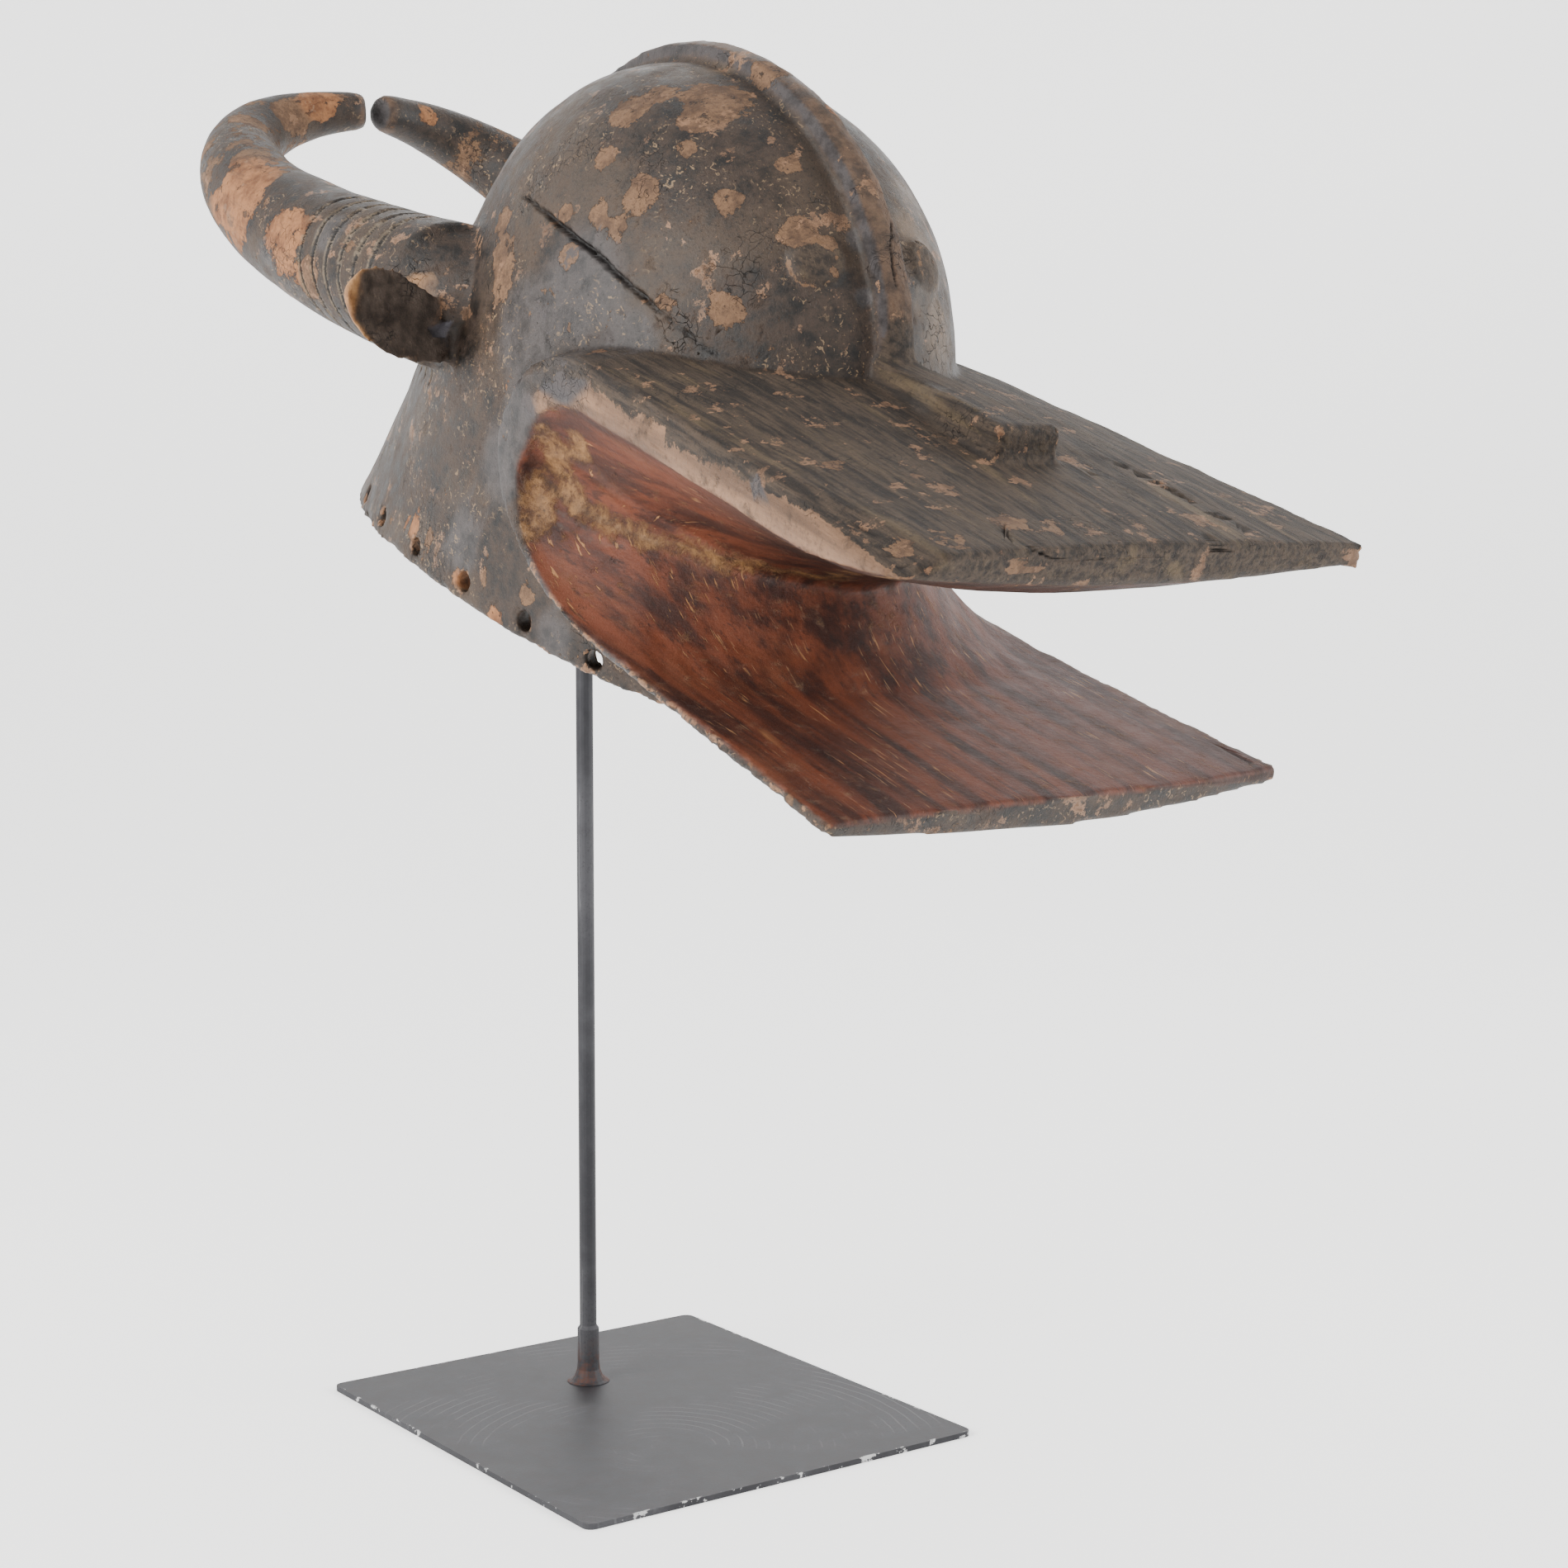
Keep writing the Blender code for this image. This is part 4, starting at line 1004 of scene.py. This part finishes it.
def carved_wood():
    """Old wood: a dark patina that has flaked off in places, with a red-brown mouth."""
    wood = Layers("old_carved_wood")
    at = wood.place("carved_at")
    along = wood.place("carved_at", (1.0, 0.09, 1.0))
    fine = wood.noise(at, 480, 6, 0.7)
    middle = wood.noise(at, 95, 9, 0.68)
    broad = wood.noise(at, 17, 6, 0.6)
    streak = wood.noise(along, 260, 8, 0.66)
    long_streak = wood.noise(along, 75, 6, 0.6)
    mouth, board = wood.mark("mouth"), wood.mark("board")
    outside = wood.without(wood.mark("inside"))

    colour, grey = patina_layer(wood, at, fine, middle, broad)
    crest_top = wood.tones((58, 44, 35), (104, 80, 62), middle, 0.36, 0.62)
    crest_side = wood.tones((30, 28, 30), (66, 65, 68), middle, 0.35, 0.65)

    lobes = wood.swing(wood.noise(at, 52, 12, 0.74), 3.6)
    share = wood.sum(wood.most(wood.mark("worn"), wood.times(wood.mark("horn"), 0.46)), lobes)
    flaked = wood.band(share, 0.50, 0.535)
    lip = wood.times(wood.band(share, 0.42, 0.50), wood.without(flaked))
    rarer = wood.sum(wood.noise(at, 70, 12, 0.76), wood.times(board, 0.06), "SUBTRACT")
    scattered = wood.times(wood.band(rarer, 0.635, 0.645), outside)
    flaked = wood.times(wood.most(flaked, scattered), outside)
    islands = wood.times(flaked, wood.band(wood.noise(at, 120, 9, 0.7), 0.60, 0.625))

    tan = wood.coats(
        wood.tones((92, 68, 51), (140, 106, 80), long_streak, 0.34, 0.60),
        ((76, 57, 43), wood.band(middle, 0.5, 0.66), 0.7),
        ((60, 45, 35), wood.band(fine, 0.54, 0.66), 0.4),
        ((60, 59, 62), wood.band(wood.mark("grey"), 0.1, 0.5), 0.9))
    bare_edge = wood.band(wood.sum(wood.mark("near_edge"), lobes), 0.30, 0.36)
    off_ears = wood.without(wood.mark("ear"))
    rim = wood.times(wood.times(wood.mark("edge"), off_ears), 0.75)
    rim = wood.times(wood.band(wood.sum(rim, lobes), 0.72, 0.80), outside)
    rim_tone = wood.tones((112, 80, 58), (150, 112, 82), fine, 0.38, 0.62)
    rim_gold = wood.tones((128, 86, 50), (186, 138, 90), middle, 0.36, 0.64)
    eye_ring = wood.band(wood.sum(wood.times(wood.mark("eye_ring"), 0.8), lobes), 0.62, 0.80)
    eye_ring = wood.times(eye_ring, wood.band(wood.mark("eye_ring"), 0, 0.4))
    # Painted light: the ear's forward face keeps its own grey-brown, lightened to stand in for the light
    # and sheen that the lamps do not give it.
    lightened_ear_face = wood.tones((58, 50, 45), (98, 86, 77), middle, 0.34, 0.66)
    plain_ear = wood.times(wood.mark("ear"), wood.without(wood.mark("ear_rim")))
    ring = wood.mark("ring")
    dust = wood.times(wood.band(ring, 0.10, 0.45), wood.band(middle, 0.40, 0.56))
    craze = wood.times(crazing(wood, at), wood.without(mouth))
    red, ochre, scratch = mouth_layer(wood, at, fine, middle, streak, long_streak)
    raw = wood.tones((50, 37, 28), (86, 66, 50), streak, 0.35, 0.65)
    colour = wood.coats(
        colour,
        (board_layer(wood, streak, long_streak, fine), board, 0.85),
        (crest_top, wood.mark("crest"), 0.7),
        (crest_side, wood.mark("crest_side"), 0.85),
        ((24, 18, 15), wood.times(lip, outside), 0.45),
        (bare_layer(wood, fine, streak, middle), flaked, 0.92),
        ((50, 40, 33), islands, 0.8),
        (tan, bare_edge, 0.9),
        (rim_tone, rim, 0.85),
        (rim_gold, wood.mark("ear_rim"), 0.9),
        ((108, 80, 56), eye_ring),
        # painted light on the ear's forward face
        (lightened_ear_face, plain_ear, 0.75),
        ((30, 24, 20), wood.times(wood.mark("hollow"), off_ears), 0.6),
        ((84, 82, 88), wood.mark("notch"), 0.85),
        ((118, 104, 86), dust, 0.7),
        ((12, 9, 8), wood.band(ring, 0.50, 0.72), 0.9),
        ((22, 17, 14), craze, 0.7),
        (red, mouth),
        (raw, wood.mark("inside")),
        ((9, 6, 5), wood.mark("crack"), 0.96),
        ((12, 9, 8), 0.16))

    polished = wood.band(middle, 0.3, 0.7, 0.54, 0.66)
    roughness = wood.coats(
        wood.band(middle, 0.3, 0.7, 0.44, 0.64),
        (0.78, wood.most(flaked, board)),
        (0.46, grey, 0.6),
        (polished, wood.times(mouth, wood.without(ochre))),
        (0.85, wood.mark("inside")))

    relief = wood.times(flaked, -0.7)
    for height, gain in ((islands, 0.6), (fine, 0.45), (craze, -0.8),
                         (wood.times(streak, board), 1.1), (wood.times(middle, ochre), 1.6),
                         (wood.times(scratch, mouth), -0.4)):
        relief = wood.sum(relief, wood.times(height, gain))
    normal = wood.bump(relief, 0.0011, 1.0)
    return wood.finish(colour, roughness, normal, specular=0.34)


def dark_steel(name):
    """Mill-finish steel with faint scuffs, dull patches and a little rust by the weld."""
    steel = Layers(name)
    at = steel.place()
    cloud = steel.noise(at, 12, 7, 0.62)
    fine = steel.noise(at, 700, 4, 0.6)
    sides = steel.most(steel.edge_band(at, 0, PLATE_WIDTH), steel.edge_band(at, 1, PLATE_DEPTH))
    nicked = steel.times(sides, steel.band(steel.noise(at, 130, 5, 0.7), 0.585, 0.60))
    rings = steel.node("TexWave", {"Scale": 46, "Distortion": 1.6, "Detail": 3})
    rings.wave_type = "RINGS"
    rings.rings_direction = "Z"
    moved = steel.nodes.new("ShaderNodeVectorMath")
    moved.operation = "ADD"
    steel.put(moved.inputs[0], at)
    moved.inputs[1].default_value = (0.03, 0.06, 0)
    steel.put(rings.inputs["Vector"], moved.outputs[0])
    arcs = steel.times(steel.band(rings.outputs["Fac"], 0.93, 0.99), steel.band(cloud, 0.5, 0.62))
    up = steel.axis(at, 2)
    low = steel.times(steel.band(up, 0.004, 0.034, 1.0, 0.0), steel.band(up, 0.0029, 0.0035))
    rust = steel.times(low, steel.band(steel.noise(at, 160, 6, 0.7), 0.42, 0.6))
    colour = steel.coats(
        steel.tones((48, 48, 51), (70, 70, 73), cloud, 0.38, 0.62),
        ((54, 54, 57), steel.band(fine, 0.52, 0.66), 0.5),
        ((196, 196, 196), nicked, 0.8),
        ((120, 120, 122), arcs, 0.3),
        ((92, 60, 48), rust, 0.6))
    roughness = steel.band(cloud, 0.3, 0.7, 0.48, 0.62)
    roughness = steel.over(roughness, 0.7, rust)
    normal = steel.bump(fine, 0.00006, 0.6)
    return steel.finish(colour, roughness, normal, metallic=0.35, specular=0.16)


def paint_node(node, material):
    """Gives a CAD node a finish through its object's slots, so its own mesh stays as packed."""
    for entry in node.material_slots:
        entry.link = "OBJECT"
        entry.material = material


# Stage, light and camera


def backdrop():
    """A pale floor that sweeps up behind the object."""
    reach, rise, bend, half = 3.2, 4.0, 1.2, 6.0
    profile = [Vector((0, -4.0, 0))]
    for step in range(25):
        angle = math.pi / 2 * step / 24
        profile.append(Vector((0, reach - bend + bend * math.sin(angle), bend - bend * math.cos(angle))))
    profile.append(Vector((0, reach, rise)))
    form = bmesh.new()
    rows = []
    for side in (-half, half):
        rows.append([form.verts.new(point + Vector((side, 0, 0))) for point in profile])
    for index in range(len(profile) - 1):
        form.faces.new((rows[0][index], rows[1][index], rows[1][index + 1], rows[0][index + 1]))
    mesh = bpy.data.meshes.new("studio_floor")
    form.to_mesh(mesh)
    form.free()
    mesh.shade_smooth()
    floor = bpy.data.objects.new("studio_floor", mesh)
    floor.rotation_euler.z = -CAMERA_YAW
    bpy.context.scene.collection.objects.link(floor)
    paper = Layers("pale_paper")
    tone = paper.noise(paper.place(), 3, 2, 0.5)
    colour = paper.over((251, 251, 251), (253, 253, 252), tone)
    paper.put(paper.shader.inputs["Emission Color"], (255, 255, 255))
    paper.put(paper.shader.inputs["Emission Strength"], 0.7)
    mesh.materials.append(paper.finish(colour, 0.9, specular=0.1))


def soft_light(name, place, aim, size, power, warmth=(1, 1, 1)):
    light = bpy.data.lights.new(name, "AREA")
    light.shape = "DISK"
    light.size = size
    light.energy = power
    light.color = warmth
    lamp = bpy.data.objects.new(name, light)
    lamp.location = place
    lamp.rotation_euler = (Vector(aim) - Vector(place)).to_track_quat("-Z", "Y").to_euler()
    bpy.context.scene.collection.objects.link(lamp)


def studio():
    world = bpy.data.worlds.new("studio")
    bpy.context.scene.world = world
    world.use_nodes = True
    sky = world.node_tree.nodes["Background"]
    sky.inputs["Color"].default_value = (1, 1, 1, 1)
    sky.inputs["Strength"].default_value = 1.05
    aim = (0, 0, 0.5)
    soft_light("key", (-2.3, -0.1, 1.3), aim, 1.3, 92, (1.0, 0.985, 0.96))
    soft_light("fill", (2.0, -1.5, 1.1), aim, 1.2, 62, (1.0, 0.99, 0.97))
    soft_light("back", (1.2, 1.4, 1.9), aim, 1.8, 10)


def photo_camera():
    camera = bpy.data.cameras.new("camera")
    camera.sensor_width = SENSOR
    camera.lens = PHOTO_FOCAL * SENSOR / PHOTO_SIZE
    camera.clip_start = 0.05
    seen = bpy.data.objects.new("camera", camera)
    bpy.context.scene.collection.objects.link(seen)
    seen.location = CAMERA_AT
    seen.rotation_euler = camera_axes()[0].to_track_quat("-Z", "Y").to_euler()
    bpy.context.scene.camera = seen


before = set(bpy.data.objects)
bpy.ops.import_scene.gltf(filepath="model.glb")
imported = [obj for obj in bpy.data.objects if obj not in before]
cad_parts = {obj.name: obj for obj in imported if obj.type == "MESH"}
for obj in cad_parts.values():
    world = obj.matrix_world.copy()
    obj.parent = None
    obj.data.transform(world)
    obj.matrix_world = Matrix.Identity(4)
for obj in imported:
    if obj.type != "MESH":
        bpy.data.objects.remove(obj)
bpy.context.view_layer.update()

mask = fine_mask(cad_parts["mask"])
mask.data.materials.append(carved_wood())
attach(mask, "root")
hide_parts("mask")

paint_node(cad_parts["base_plate"], dark_steel("plate_steel"))
paint_node(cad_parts["stand_rod"], dark_steel("rod_steel"))

backdrop()
studio()
photo_camera()
